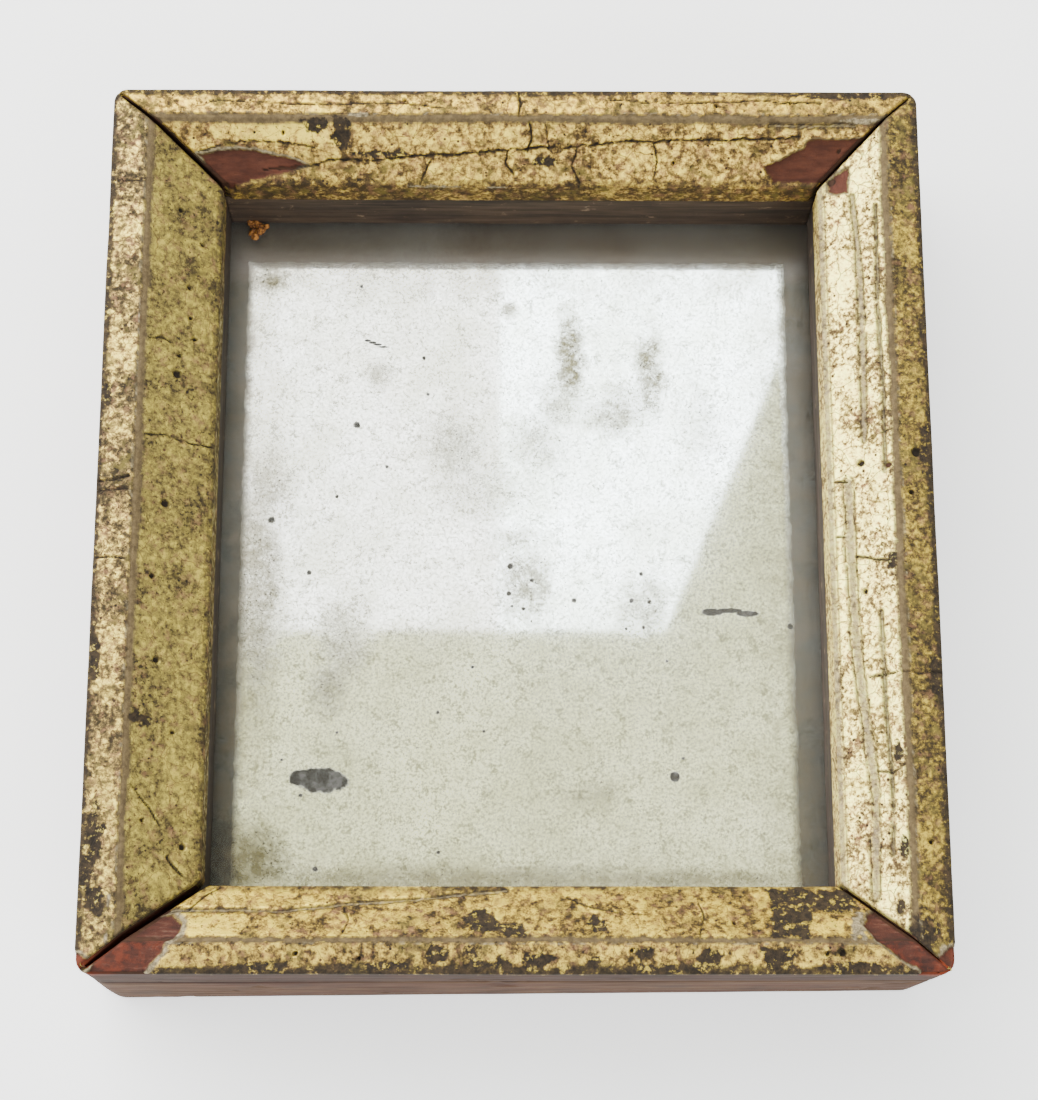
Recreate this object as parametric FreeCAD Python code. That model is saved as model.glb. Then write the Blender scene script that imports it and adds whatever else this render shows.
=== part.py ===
import FreeCAD, Part
import math
import os

os.makedirs("parts", exist_ok=True)

# A small deep gilt frame with mitred rails, a mirror glass set far back, and a hanger on the board behind it.
# Row frame: the frame lies on its back. Z = 0 is the back plane, +Z comes out of the open front,
# +Y points to the top rail and +X to the right rail. The origin is under the frame's centre. Millimetres.

# Driving dimensions
WIDTH = 152.0
HEIGHT = 165.6
DEPTH = 37.0
RIDGE_RISE = 0.6
CORNER_RADIUS = 2.0
BAND_SHARE = 0.365
RAIL_WIDTHS = {"top": 16.4, "bottom": 16.0, "left": 20.3, "right": 18.4}
LIP_TOP_Z = 29.5
LIP_BOTTOM_Z = 22.8
REBATE = 6.0
GESSO = 0.8
LIP_CORNER_SHARE = 0.6  # how far the wood's lip corner lies under the gilding's, as a share of GESSO

# Mitre joints, which have opened by different amounts
MITRE_GAPS = {
    ("top", "left"): 0.7,
    ("top", "right"): 0.4,
    ("bottom", "left"): 1.2,
    ("bottom", "right"): 0.3,
}

# How far blanks and cutting tools run past what they cut
OVERRUN = 2.0
MITRE_REACH = 60.0
MITRE_SPREAD = 400.0

# Glass and backing, from the front to the back
GLASS_FRONT_Z = 9.9
GLASS_THICKNESS = 2.0
SILVERING_THICKNESS = 0.2
PAPER_THICKNESS = 0.3
BOARD_THICKNESS = 3.0
GLASS_CLEARANCE = 0.6
BOARD_CLEARANCE = 0.3
SPACER_SETBACK = 0.5
SPACER_CLEARANCE = 0.2

# Fasteners
NAIL_RADIUS = 0.8
NAIL_HEAD_RADIUS = 1.5
NAIL_HEAD_HEIGHT = 0.8
NAIL_LENGTH = 24.0
NAIL_INSET = 6.0
NAIL_HEIGHTS = (12.0, 26.0)
BRAD_RADIUS = 0.6
BRAD_LENGTH = 12.0
BRAD_BURIED = 5.0
BRAD_OFFSET = 38.0
HOLE_CLEARANCE = 0.03

# Hanger
WIRE_RADIUS = 0.8
EYE_CLEARANCE = 0.08
STRAP_THICKNESS = 0.8
STRAP_WIDTH = 8.0
STRAP_LENGTH = 18.0
EYE_DROP = 1.9
EYE_Y = 50.0
RING_HALF_WIDTH = 7.0
RING_ARM = 3.0
SCREW_OFFSETS = (5.0, 14.5)
SCREW_RADIUS = 1.0
SCREW_HEAD_RADIUS = 2.2
SCREW_HEAD_HEIGHT = 0.9
SCREW_BITE = 2.2
SLOT_WIDTH = 0.5
SLOT_DEPTH = 0.4

# Derived levels and half sizes
HALF_W = WIDTH / 2
HALF_H = HEIGHT / 2
GLASS_BACK_Z = GLASS_FRONT_Z - GLASS_THICKNESS
SILVER_BACK_Z = GLASS_BACK_Z - SILVERING_THICKNESS
PAPER_BACK_Z = SILVER_BACK_Z - PAPER_THICKNESS
BOARD_BACK_Z = PAPER_BACK_Z - BOARD_THICKNESS
EYE_Z = BOARD_BACK_Z - EYE_DROP
SIGHT_LEFT = -HALF_W + RAIL_WIDTHS["left"]
SIGHT_RIGHT = HALF_W - RAIL_WIDTHS["right"]
SIGHT_BOTTOM = -HALF_H + RAIL_WIDTHS["bottom"]
SIGHT_TOP = HALF_H - RAIL_WIDTHS["top"]

# Chips through the gilding: outlines in plan view, in the row frame, as round-cornered closed curves
CHIPS = {
    "top": [
        [(-60, 71.5), (-52, 72.5), (-41, 70.6), (-41, 68), (-54, 65.2)],
        [(47.5, 69), (55, 73.5), (64.5, 74), (59, 68.5), (49.5, 66.8)],
    ],
    "right": [[(60.8, 68.4), (63, 67.5), (63, 63.8), (60.6, 64.4)]],
    "bottom": [
        [(-59.5, -73), (-61, -79.5), (-65, -84.5), (-74, -84.5), (-66, -76)],
        [(63, -70), (80, -79), (80, -88), (66, -87), (62.5, -78)],
    ],
}


def box(low, high):
    """A box between two opposite corners."""
    size = [b - a for a, b in zip(low, high)]
    return Part.makeBox(size[0], size[1], size[2], FreeCAD.Vector(*low))


def rod(radius, start, direction, length):
    """A round rod from a point along a direction."""
    return Part.makeCylinder(radius, length, FreeCAD.Vector(*start), FreeCAD.Vector(*direction))


def fuse(shapes):
    """One solid from shapes that touch or overlap."""
    return shapes[0].multiFuse(shapes[1:]).removeSplitter()


def cut(shape, tools):
    """A shape with every tool cut away."""
    return shape.cut(tools) if tools else shape


def front_outline(width, drop):
    """Depth-and-height points over the front of a rail, lowered by drop, from the outer edge to the lip."""
    band = width * BAND_SHARE
    return [
        (0.0, DEPTH - drop),
        (band, DEPTH + RIDGE_RISE - drop),
        (width - drop, LIP_TOP_Z - drop * LIP_CORNER_SHARE),
        (width - drop, LIP_BOTTOM_Z),
    ]


def core_section(width):
    """The wood's section: full depth at the outside, with a rebate cut behind the lip."""
    foot = width - REBATE
    return front_outline(width, GESSO) + [(foot, LIP_BOTTOM_Z), (foot, 0.0), (0.0, 0.0)]


def skin_section(width):
    """The gesso and leaf on the front of the wood and down the lip's face."""
    return front_outline(width, 0.0) + front_outline(width, GESSO)[::-1]


def along_side(side, points, half_length):
    """A section extruded along one side of the frame, over its whole length."""
    places = {
        "top": lambda t, z: (-half_length, HALF_H - t, z),
        "bottom": lambda t, z: (-half_length, -HALF_H + t, z),
        "left": lambda t, z: (-HALF_W + t, -half_length, z),
        "right": lambda t, z: (HALF_W - t, -half_length, z),
    }
    corners = [FreeCAD.Vector(*places[side](t, z)) for t, z in points]
    face = Part.Face(Part.makePolygon(corners + corners[:1]))
    run = 2 * half_length
    direction = FreeCAD.Vector(run, 0, 0) if side in ("top", "bottom") else FreeCAD.Vector(0, run, 0)
    return face.extrude(direction)


def mitre_tool(level, upright, own):
    """The half space beyond one corner's mitre, on the far side from the rail called own."""
    x_out = HALF_W if upright == "right" else -HALF_W
    y_out = HALF_H if level == "top" else -HALF_H
    x_in = SIGHT_RIGHT if upright == "right" else SIGHT_LEFT
    y_in = SIGHT_TOP if level == "top" else SIGHT_BOTTOM
    along = FreeCAD.Vector(x_in - x_out, y_in - y_out, 0).normalize()
    across = FreeCAD.Vector(-along.y, along.x, 0)
    rail_middle = {
        "top": FreeCAD.Vector(0, HALF_H, 0),
        "bottom": FreeCAD.Vector(0, -HALF_H, 0),
        "left": FreeCAD.Vector(-HALF_W, 0, 0),
        "right": FreeCAD.Vector(HALF_W, 0, 0),
    }[own]
    corner = FreeCAD.Vector(x_out, y_out, 0)
    if (rail_middle - corner).dot(across) > 0:
        across = across * -1
    near = corner - across * (MITRE_GAPS[(level, upright)] / 2)
    points = [
        near - along * MITRE_REACH,
        near + along * MITRE_REACH,
        near + along * MITRE_REACH + across * MITRE_SPREAD,
        near - along * MITRE_REACH + across * MITRE_SPREAD,
    ]
    lowest = FreeCAD.Vector(0, 0, -OVERRUN)
    face = Part.Face(Part.makePolygon([p + lowest for p in points + points[:1]]))
    return face.extrude(FreeCAD.Vector(0, 0, DEPTH + 2 * OVERRUN))


def mitre_cuts(side):
    """The two mitre tools at the ends of one rail."""
    if side in ("top", "bottom"):
        return [mitre_tool(side, "left", side), mitre_tool(side, "right", side)]
    return [mitre_tool("top", side, side), mitre_tool("bottom", side, side)]


def rounded_envelope():
    """The frame's outer block with its four upright corners rounded."""
    block = box((-HALF_W, -HALF_H, -OVERRUN), (HALF_W, HALF_H, DEPTH + OVERRUN))
    upright = [edge for edge in block.Edges if abs(edge.Vertexes[0].Z - edge.Vertexes[1].Z) > DEPTH]
    return block.makeFillet(CORNER_RADIUS, upright)


ENVELOPE = rounded_envelope()


def chip_tool(points):
    """An upright plug with a smooth closed outline."""
    curve = Part.BSplineCurve()
    curve.interpolate([FreeCAD.Vector(x, y, LIP_BOTTOM_Z) for x, y in points], PeriodicFlag=True)
    face = Part.Face(Part.Wire([curve.toShape()]))
    return face.extrude(FreeCAD.Vector(0, 0, DEPTH - LIP_BOTTOM_Z + OVERRUN))


def nail_places():
    """Head centre and inward direction of each nail: two at every corner, driven from the side rails."""
    places = []
    for x_sign in (-1, 1):
        for y_sign in (-1, 1):
            for z in NAIL_HEIGHTS:
                head = (x_sign * HALF_W, y_sign * (HALF_H - NAIL_INSET), z)
                places.append((head, (-x_sign, 0, 0)))
    return places


def nail(head, direction, growth):
    """One nail, its head flush with the rail's outer face, grown all round for the hole it sits in."""
    shank = rod(NAIL_RADIUS + growth, head, direction, NAIL_LENGTH + growth)
    top = rod(NAIL_HEAD_RADIUS + growth, head, direction, NAIL_HEAD_HEIGHT + growth)
    return fuse([shank, top])


def brad_places():
    """Buried end and direction of each brad that holds the board in."""
    z = BOARD_BACK_Z - BRAD_RADIUS
    places = []
    for offset in (-BRAD_OFFSET, BRAD_OFFSET):
        places.append(((offset, HALF_H - RAIL_WIDTHS["top"] + REBATE + BRAD_BURIED, z), (0, -1, 0)))
        places.append(((offset, -HALF_H + RAIL_WIDTHS["bottom"] - REBATE - BRAD_BURIED, z), (0, 1, 0)))
        places.append(((-HALF_W + RAIL_WIDTHS["left"] - REBATE - BRAD_BURIED, offset, z), (1, 0, 0)))
        places.append(((HALF_W - RAIL_WIDTHS["right"] + REBATE + BRAD_BURIED, offset, z), (-1, 0, 0)))
    return places


def brad(start, direction, growth):
    """One headless brad, grown all round for its hole."""
    return rod(BRAD_RADIUS + growth, start, direction, BRAD_LENGTH)


def rails():
    """The four wood cores, with nail and brad holes."""
    holes = [nail(h, d, HOLE_CLEARANCE) for h, d in nail_places()]
    holes += [brad(s, d, HOLE_CLEARANCE) for s, d in brad_places()]
    made = {}
    for side, width in RAIL_WIDTHS.items():
        bar = along_side(side, core_section(width), HALF_H + OVERRUN)
        made["rail_" + side] = cut(bar, mitre_cuts(side) + holes).common(ENVELOPE)
    return made


def gilding():
    """The four gesso and leaf skins, with the largest chips cut through."""
    made = {}
    for side, width in RAIL_WIDTHS.items():
        skin = along_side(side, skin_section(width), HALF_H + OVERRUN)
        chips = [chip_tool(points) for points in CHIPS.get(side, [])]
        made["gilding_" + side] = cut(skin, mitre_cuts(side) + chips).common(ENVELOPE)
    return made


def spacers():
    """Wood fillets in the rebate between the lip and the glass, the level ones between the uprights."""
    left_in = SIGHT_LEFT - SPACER_SETBACK
    right_in = SIGHT_RIGHT + SPACER_SETBACK
    bottom_in = SIGHT_BOTTOM - SPACER_SETBACK
    top_in = SIGHT_TOP + SPACER_SETBACK
    thick = REBATE - SPACER_SETBACK - SPACER_CLEARANCE
    low, high = GLASS_FRONT_Z, LIP_BOTTOM_Z
    return {
        "spacer_left": box((left_in - thick, bottom_in - thick, low), (left_in, top_in + thick, high)),
        "spacer_right": box((right_in, bottom_in - thick, low), (right_in + thick, top_in + thick, high)),
        "spacer_top": box((left_in, top_in, low), (right_in, top_in + thick, high)),
        "spacer_bottom": box((left_in, bottom_in - thick, low), (right_in, bottom_in, high)),
    }


def sheet(clearance, low, high):
    """A flat sheet that fills the rebate less a clearance all round."""
    grow = REBATE - clearance
    return box(
        (SIGHT_LEFT - grow, SIGHT_BOTTOM - grow, low),
        (SIGHT_RIGHT + grow, SIGHT_TOP + grow, high),
    )


def screw_tools(radius, depth):
    """Upright rods where the hanger's screws go into the board."""
    return [
        rod(radius, (0, EYE_Y - offset, BOARD_BACK_Z - STRAP_THICKNESS), (0, 0, 1), STRAP_THICKNESS + depth)
        for offset in SCREW_OFFSETS
    ]


def glass_and_backing():
    """Mirror glass, reflecting layer, paper and board."""
    board = sheet(BOARD_CLEARANCE, BOARD_BACK_Z, PAPER_BACK_Z)
    return {
        "mirror_glass": sheet(GLASS_CLEARANCE, GLASS_BACK_Z, GLASS_FRONT_Z),
        "silvering": sheet(GLASS_CLEARANCE, SILVER_BACK_Z, GLASS_BACK_Z),
        "backing_paper": sheet(GLASS_CLEARANCE, PAPER_BACK_Z, SILVER_BACK_Z),
        "backboard": cut(board, screw_tools(SCREW_RADIUS + HOLE_CLEARANCE, SCREW_BITE + HOLE_CLEARANCE)),
    }


def hanger_plate():
    """A strap screwed to the board, with its end rolled into an eye for the ring."""
    half = STRAP_WIDTH / 2
    strap = box(
        (-half, EYE_Y - STRAP_LENGTH, BOARD_BACK_Z - STRAP_THICKNESS),
        (half, EYE_Y, BOARD_BACK_Z),
    )
    bore = WIRE_RADIUS + EYE_CLEARANCE
    eye = rod(bore + STRAP_THICKNESS, (-half, EYE_Y, EYE_Z), (1, 0, 0), STRAP_WIDTH)
    plate = fuse([strap, eye])
    hole = rod(bore, (-half - OVERRUN, EYE_Y, EYE_Z), (1, 0, 0), STRAP_WIDTH + 2 * OVERRUN)
    return cut(plate, [hole] + screw_tools(SCREW_RADIUS + HOLE_CLEARANCE, OVERRUN))


def hanger_screws():
    """Two pan-head wood screws through the strap."""
    screws = []
    under_head = BOARD_BACK_Z - STRAP_THICKNESS
    outside = under_head - SCREW_HEAD_HEIGHT
    for offset in SCREW_OFFSETS:
        y = EYE_Y - offset
        shank = rod(SCREW_RADIUS, (0, y, under_head), (0, 0, 1), STRAP_THICKNESS + SCREW_BITE)
        head = rod(SCREW_HEAD_RADIUS, (0, y, outside), (0, 0, 1), SCREW_HEAD_HEIGHT)
        slot = box(
            (-SCREW_HEAD_RADIUS, y - SLOT_WIDTH / 2, outside - OVERRUN),
            (SCREW_HEAD_RADIUS, y + SLOT_WIDTH / 2, outside + SLOT_DEPTH),
        )
        screws.append(cut(fuse([shank, head]), [slot]))
    return Part.Compound(screws)


def hanger_ring():
    """A wire D: a bar in the strap's eye, two short arms and a half-round bow towards the top rail."""
    half = RING_HALF_WIDTH
    bow_y = EYE_Y + RING_ARM
    bar = rod(WIRE_RADIUS, (-half, EYE_Y, EYE_Z), (1, 0, 0), 2 * half)
    arms = [rod(WIRE_RADIUS, (x, EYE_Y, EYE_Z), (0, 1, 0), RING_ARM) for x in (-half, half)]
    knuckles = [Part.makeSphere(WIRE_RADIUS, FreeCAD.Vector(x, EYE_Y, EYE_Z)) for x in (-half, half)]
    bow = Part.makeTorus(half, WIRE_RADIUS, FreeCAD.Vector(0, bow_y, EYE_Z), FreeCAD.Vector(0, 0, 1))
    upper = box((-2 * half, bow_y, EYE_Z - OVERRUN), (2 * half, bow_y + 2 * half, EYE_Z + OVERRUN))
    return fuse([bar] + arms + knuckles + [bow.common(upper)])


def build():
    """Every node of the frame by name."""
    nodes = {}
    nodes.update(rails())
    nodes.update(gilding())
    nodes.update(spacers())
    nodes.update(glass_and_backing())
    nodes["mitre_nails"] = Part.Compound([nail(h, d, 0.0) for h, d in nail_places()])
    nodes["backboard_brads"] = Part.Compound([brad(s, d, 0.0) for s, d in brad_places()])
    nodes["hanger_plate"] = hanger_plate()
    nodes["hanger_screws"] = hanger_screws()
    nodes["hanger_ring"] = hanger_ring()
    return nodes


total = FreeCAD.BoundBox()
for name, shape in build().items():
    shape.exportStep("parts/" + name + ".step")
    total.add(shape.BoundBox)
    print(name, "solids", len(shape.Solids), "volume", round(shape.Volume, 1), "valid", shape.isValid())
print("size", round(total.XLength, 2), round(total.YLength, 2), round(total.ZLength, 2))
print("lowest point", round(total.ZMin, 3))
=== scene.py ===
import math

import bmesh
import bpy
import numpy as np
from mathutils import Matrix, Vector


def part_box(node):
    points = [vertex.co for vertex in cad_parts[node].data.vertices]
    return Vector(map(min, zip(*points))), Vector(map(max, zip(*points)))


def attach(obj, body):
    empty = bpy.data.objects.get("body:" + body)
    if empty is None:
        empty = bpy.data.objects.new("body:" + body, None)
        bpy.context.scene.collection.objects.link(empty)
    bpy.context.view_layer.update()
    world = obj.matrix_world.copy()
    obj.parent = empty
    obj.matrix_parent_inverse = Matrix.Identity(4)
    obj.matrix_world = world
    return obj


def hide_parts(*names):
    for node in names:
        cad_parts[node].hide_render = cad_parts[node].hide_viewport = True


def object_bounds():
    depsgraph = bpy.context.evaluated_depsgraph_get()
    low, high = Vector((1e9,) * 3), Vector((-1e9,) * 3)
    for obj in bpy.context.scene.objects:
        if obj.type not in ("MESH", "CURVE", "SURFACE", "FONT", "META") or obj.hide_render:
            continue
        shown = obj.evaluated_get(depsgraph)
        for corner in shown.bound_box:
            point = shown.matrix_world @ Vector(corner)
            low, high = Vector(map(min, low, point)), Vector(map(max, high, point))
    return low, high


# A small deep gilt frame that lies on its back, with an old mirror glass set far behind its front.
# Lengths are millimetres in the row frame until a mesh is made, and MM turns them into metres.
MM = 0.001

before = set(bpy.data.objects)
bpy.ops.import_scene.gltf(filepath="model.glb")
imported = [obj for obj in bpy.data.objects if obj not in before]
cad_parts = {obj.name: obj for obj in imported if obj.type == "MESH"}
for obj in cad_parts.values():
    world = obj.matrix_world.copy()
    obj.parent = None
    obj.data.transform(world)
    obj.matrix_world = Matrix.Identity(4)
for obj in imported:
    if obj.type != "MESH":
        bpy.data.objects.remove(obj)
cad_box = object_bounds()

# ---------------------------------------------------------------- camera

CAMERA_PLACE = (-3.74, -117.59, 454.5)
CAMERA_TILT, CAMERA_PAN, CAMERA_ROLL = 14.79, -0.57, 0.13
CAMERA_LENS, CAMERA_SENSOR = 78.5, 36.0


def make_camera():
    """The photograph's viewing angle: nearly from above, and a little from the bottom rail's side."""
    data = bpy.data.cameras.new("camera")
    data.lens = CAMERA_LENS
    data.sensor_width = CAMERA_SENSOR
    data.clip_start = 0.01
    data.clip_end = 50.0
    camera = bpy.data.objects.new("camera", data)
    bpy.context.scene.collection.objects.link(camera)
    turn = (
        Matrix.Rotation(math.radians(CAMERA_TILT), 4, "X")
        @ Matrix.Rotation(math.radians(CAMERA_PAN), 4, "Y")
        @ Matrix.Rotation(math.radians(CAMERA_ROLL), 4, "Z")
    )
    camera.matrix_world = Matrix.Translation(Vector(CAMERA_PLACE) * MM) @ turn
    bpy.context.scene.camera = camera


make_camera()

# ---------------------------------------------------------------- sizes from the frame


def node_box(node):
    """Lowest and highest corner of a CAD node, in millimetres."""
    low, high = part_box(node)
    return np.array(low) / MM, np.array(high) / MM


HALF_W, HALF_H, RIDGE_Z = np.array(cad_box[1]) / MM
RIDGE_RISE = 0.6
FRONT_Z = RIDGE_Z - RIDGE_RISE
# Height of the groove along the outer faces
JOIN_Z = 22.5
LIP_TOP_Z = 29.5
LIP_BOTTOM_Z = node_box("gilding_left")[0][2]
GLASS_TOP = node_box("mirror_glass")[1][2]
# Width of a rail's outer band, as a share of the rail's width
BAND_SHARE = 0.365
# Thickness of gesso and leaf, and how far they stand out from the wood's outer face
GESSO = 0.8
PROUD = 0.12
# Depth of the rebate behind the lip, measured in towards the outer face
REBATE = 6.0
SIDES = ("top", "bottom", "left", "right")


def runs_along_x(side):
    return side in ("top", "bottom")


def half_length(side):
    """Half the frame's size along a rail."""
    return HALF_W if runs_along_x(side) else HALF_H


def rail_width(side):
    """Width of a rail across its front, from the outer face to the lip."""
    low, high = node_box("gilding_" + side)
    return high[1] - low[1] if runs_along_x(side) else high[0] - low[0]


WIDTHS = {side: rail_width(side) for side in SIDES}
# How far each mitre has opened
MITRE_GAPS = {
    ("top", "left"): 0.7,
    ("top", "right"): 0.4,
    ("bottom", "left"): 1.2,
    ("bottom", "right"): 0.3,
}

# ---------------------------------------------------------------- noise on arrays


def lattice_noise(x, y, seed):
    """Smooth value noise from 0 to 1 with one random value per unit cell."""
    table = np.random.default_rng(seed).random((128, 128))
    cell_x, cell_y = np.floor(x).astype(int), np.floor(y).astype(int)
    part_x, part_y = x - cell_x, y - cell_y
    part_x = part_x * part_x * (3 - 2 * part_x)
    part_y = part_y * part_y * (3 - 2 * part_y)
    x0, x1 = cell_x % 128, (cell_x + 1) % 128
    y0, y1 = cell_y % 128, (cell_y + 1) % 128
    low = table[x0, y0] * (1 - part_x) + table[x1, y0] * part_x
    high = table[x0, y1] * (1 - part_x) + table[x1, y1] * part_x
    return low * (1 - part_y) + high * part_y


def fractal(x, y, size, seed, octaves=4):
    """Layered noise from 0 to 1 whose largest features are about size across."""
    total, weight, norm = 0.0, 1.0, 0.0
    for octave in range(octaves):
        step = size / 2**octave
        layer = lattice_noise(x / step + 17.3 * octave, y / step + 5.1 * octave, seed + octave)
        total = total + weight * layer
        norm += weight
        weight *= 0.55
    return total / norm


def step_up(value, low, high):
    """0 below low, 1 above high, smooth between."""
    t = np.clip((value - low) / (high - low), 0.0, 1.0)
    return t * t * (3 - 2 * t)


def distance_to_line(x, y, points):
    """Distance from each place to an open line through the points."""
    best = np.full(np.shape(x), 1e9)
    for (x0, y0), (x1, y1) in zip(points[:-1], points[1:]):
        run_x, run_y = x1 - x0, y1 - y0
        along = np.clip(((x - x0) * run_x + (y - y0) * run_y) / (run_x**2 + run_y**2), 0, 1)
        best = np.minimum(best, np.hypot(x - x0 - along * run_x, y - y0 - along * run_y))
    return best


def inside_outline(x, y, points):
    """Signed distance to a closed outline: negative inside it."""
    ring = list(points) + [points[0]]
    inside = np.zeros(np.shape(x), bool)
    for (x0, y0), (x1, y1) in zip(ring[:-1], ring[1:]):
        crosses = ((y0 > y) != (y1 > y)) & (x < (x1 - x0) * (y - y0) / (y1 - y0 + 1e-12) + x0)
        inside ^= crosses
    return np.where(inside, -1.0, 1.0) * distance_to_line(x, y, ring)


# ---------------------------------------------------------------- what age did to each rail

# Places on a rail are (along, in): along the rail in the row frame's X or Y, and in from its outer face.
# Chips through the gesso: the width of the gesso rim that shows round each, and its outline
CHIPS = {
    "top": [
        (0.35, 14, [
            (-60.5, 11.6), (-54.5, 10.7), (-49.2, 11), (-42, 12.4), (-39.5, 13.3), (-45.6, 15),
            (-50.8, 16.1), (-53.3, 17), (-53.6, 19), (-55, 19),
        ]),
        (0.15, 13, [
            (47, 13.2), (50, 12.2), (54.6, 10.4), (55, 9.2), (66.5, 8.8), (61, 13.9), (58.6, 16),
            (54.3, 16), (49.1, 15.9),
        ]),
    ],
    "bottom": [
        (0.85, 99, [
            (-76, -6), (-63.8, -6), (-63.8, 0), (-62.8, 1.8), (-61, 3.6), (-60.4, 5.4), (-58, 7.2),
            (-57.8, 9), (-59.8, 10.8), (-70, 9),
        ]),
        (0.3, 99, [
            (70.4, -6), (79, -6), (77, 4), (64, 12.5), (61.3, 10.6), (60.4, 8.7), (62.8, 5.2),
            (67, 2.2), (69.8, 0.6),
        ]),
    ],
    "left": [(0.4, 99, [(-86, -6), (-79, -6), (-79.2, 1), (-80.8, 3), (-86, 4)])],
    "right": [
        (0.3, 99, [(63.9, 13.2), (68.9, 12.9), (68.5, 15), (67.4, 16.6), (65, 16.8), (64.2, 15.2)]),
        (0.4, 99, [(-86, -6), (-78.4, -6), (-78, 0.8), (-80.2, 3.2), (-86, 4)]),
    ],
}
# Sharp-edged losses of leaf down to brown size, and whole plates of clean bright leaf
STAIN_SHAPES = {
    "bottom": [
        [
            (44.4, 6.4), (51.2, 6.2), (51.8, 8.8), (52, 11.4), (57.5, 11), (61, 11.4), (58.2, 15.6),
            (44.7, 15.2),
        ],
        [(42.2, 4.8), (42.9, 0.6), (48.6, 0.6), (48.3, 4.8)],
        [(-8.5, 6.8), (-8.8, 10.6), (-5.5, 12), (-3.5, 9.6), (1.2, 9), (1.6, 6.8)],
        [(-9.4, 0.6), (-9, 4.6), (-6.6, 4.8), (-5.4, 1.8), (-2.2, 3.6), (0.4, 1)],
    ],
    "top": [[(-35, 5.2), (-32.4, 5.4), (-31.6, 7.4), (-32.8, 9.8), (-34.4, 7.8)]],
}
PLATES = {
    "bottom": [
        [(-58.6, 10), (-57.2, 6.5), (-47.6, 6.4), (-47.1, 10.6)],
        [(52.2, 8.8), (52.3, 6.9), (56.3, 7), (57.3, 9.4), (54.8, 10)],
    ],
    "top": [[(-58, 6.8), (-36, 6.8), (-34, 10), (-46, 9.6), (-57, 9.4)]],
}
# Shallow losses of leaf that show brown gesso stain: (along, in, half length, half width)
STAINS = {
    "top": [
        (-37, 7, 4, 1.4), (-33, 9, 2.5, 1.6), (-26, 11.5, 5, 0.7), (5, 12.6, 3, 0.8), (62, 1.0, 9, 0.8),
    ],
    "bottom": [
        (14.5, 8.6, 1.9, 1.5), (13.5, 1.6, 1.2, 1.0), (57, 1.2, 6, 1.0), (26, 1.0, 8, 0.8),
        (4, 2.4, 3, 1.4), (-22, 1.4, 5, 0.9), (-44, 1.2, 7, 0.8), (33, 3, 2.4, 1.6), (22, 3.6, 2, 1.2),
        (-14, 3.4, 2.2, 1.4),
    ],
    "left": [
        (-66, 1.6, 5, 1.4), (-60, 2.4, 5, 1.5), (-71, 3, 4, 2), (-28, 1.2, 6, 1), (22, 1.4, 4, 1.2),
        (-38, 9, 1.5, 2),
    ],
    "right": [
        (-61, 8.0, 1.8, 0.7), (-71, 9.0, 1.4, 0.8), (-44, 8.4, 1.4, 0.6), (-9, 8.2, 1.8, 0.9),
        (-76, 5.5, 3, 2.4), (70, 15.6, 3.0, 0.9), (12, 1.6, 4, 1.0), (-30, 1.4, 5, 1.1),
    ],
}
# Grey gesso shown bare: (along, in, half length, half width)
GESSO_PATCHES = {
    "top": [(66, 6.2, 4.5, 0.5), (-14, 16.6, 6, 0.35), (-4, 16.8, 2.4, 0.3), (-30, 5.3, 2, 0.4)],
    "bottom": [(59.6, 8.8, 1.7, 2.5), (-57.5, 11.3, 2.4, 0.35)],
    "left": [(-77, 5.4, 1.2, 0.4), (-70, 5.6, 1, 0.3)],
    "right": [(-79, 2.2, 1.6, 0.9)],
}
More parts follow.
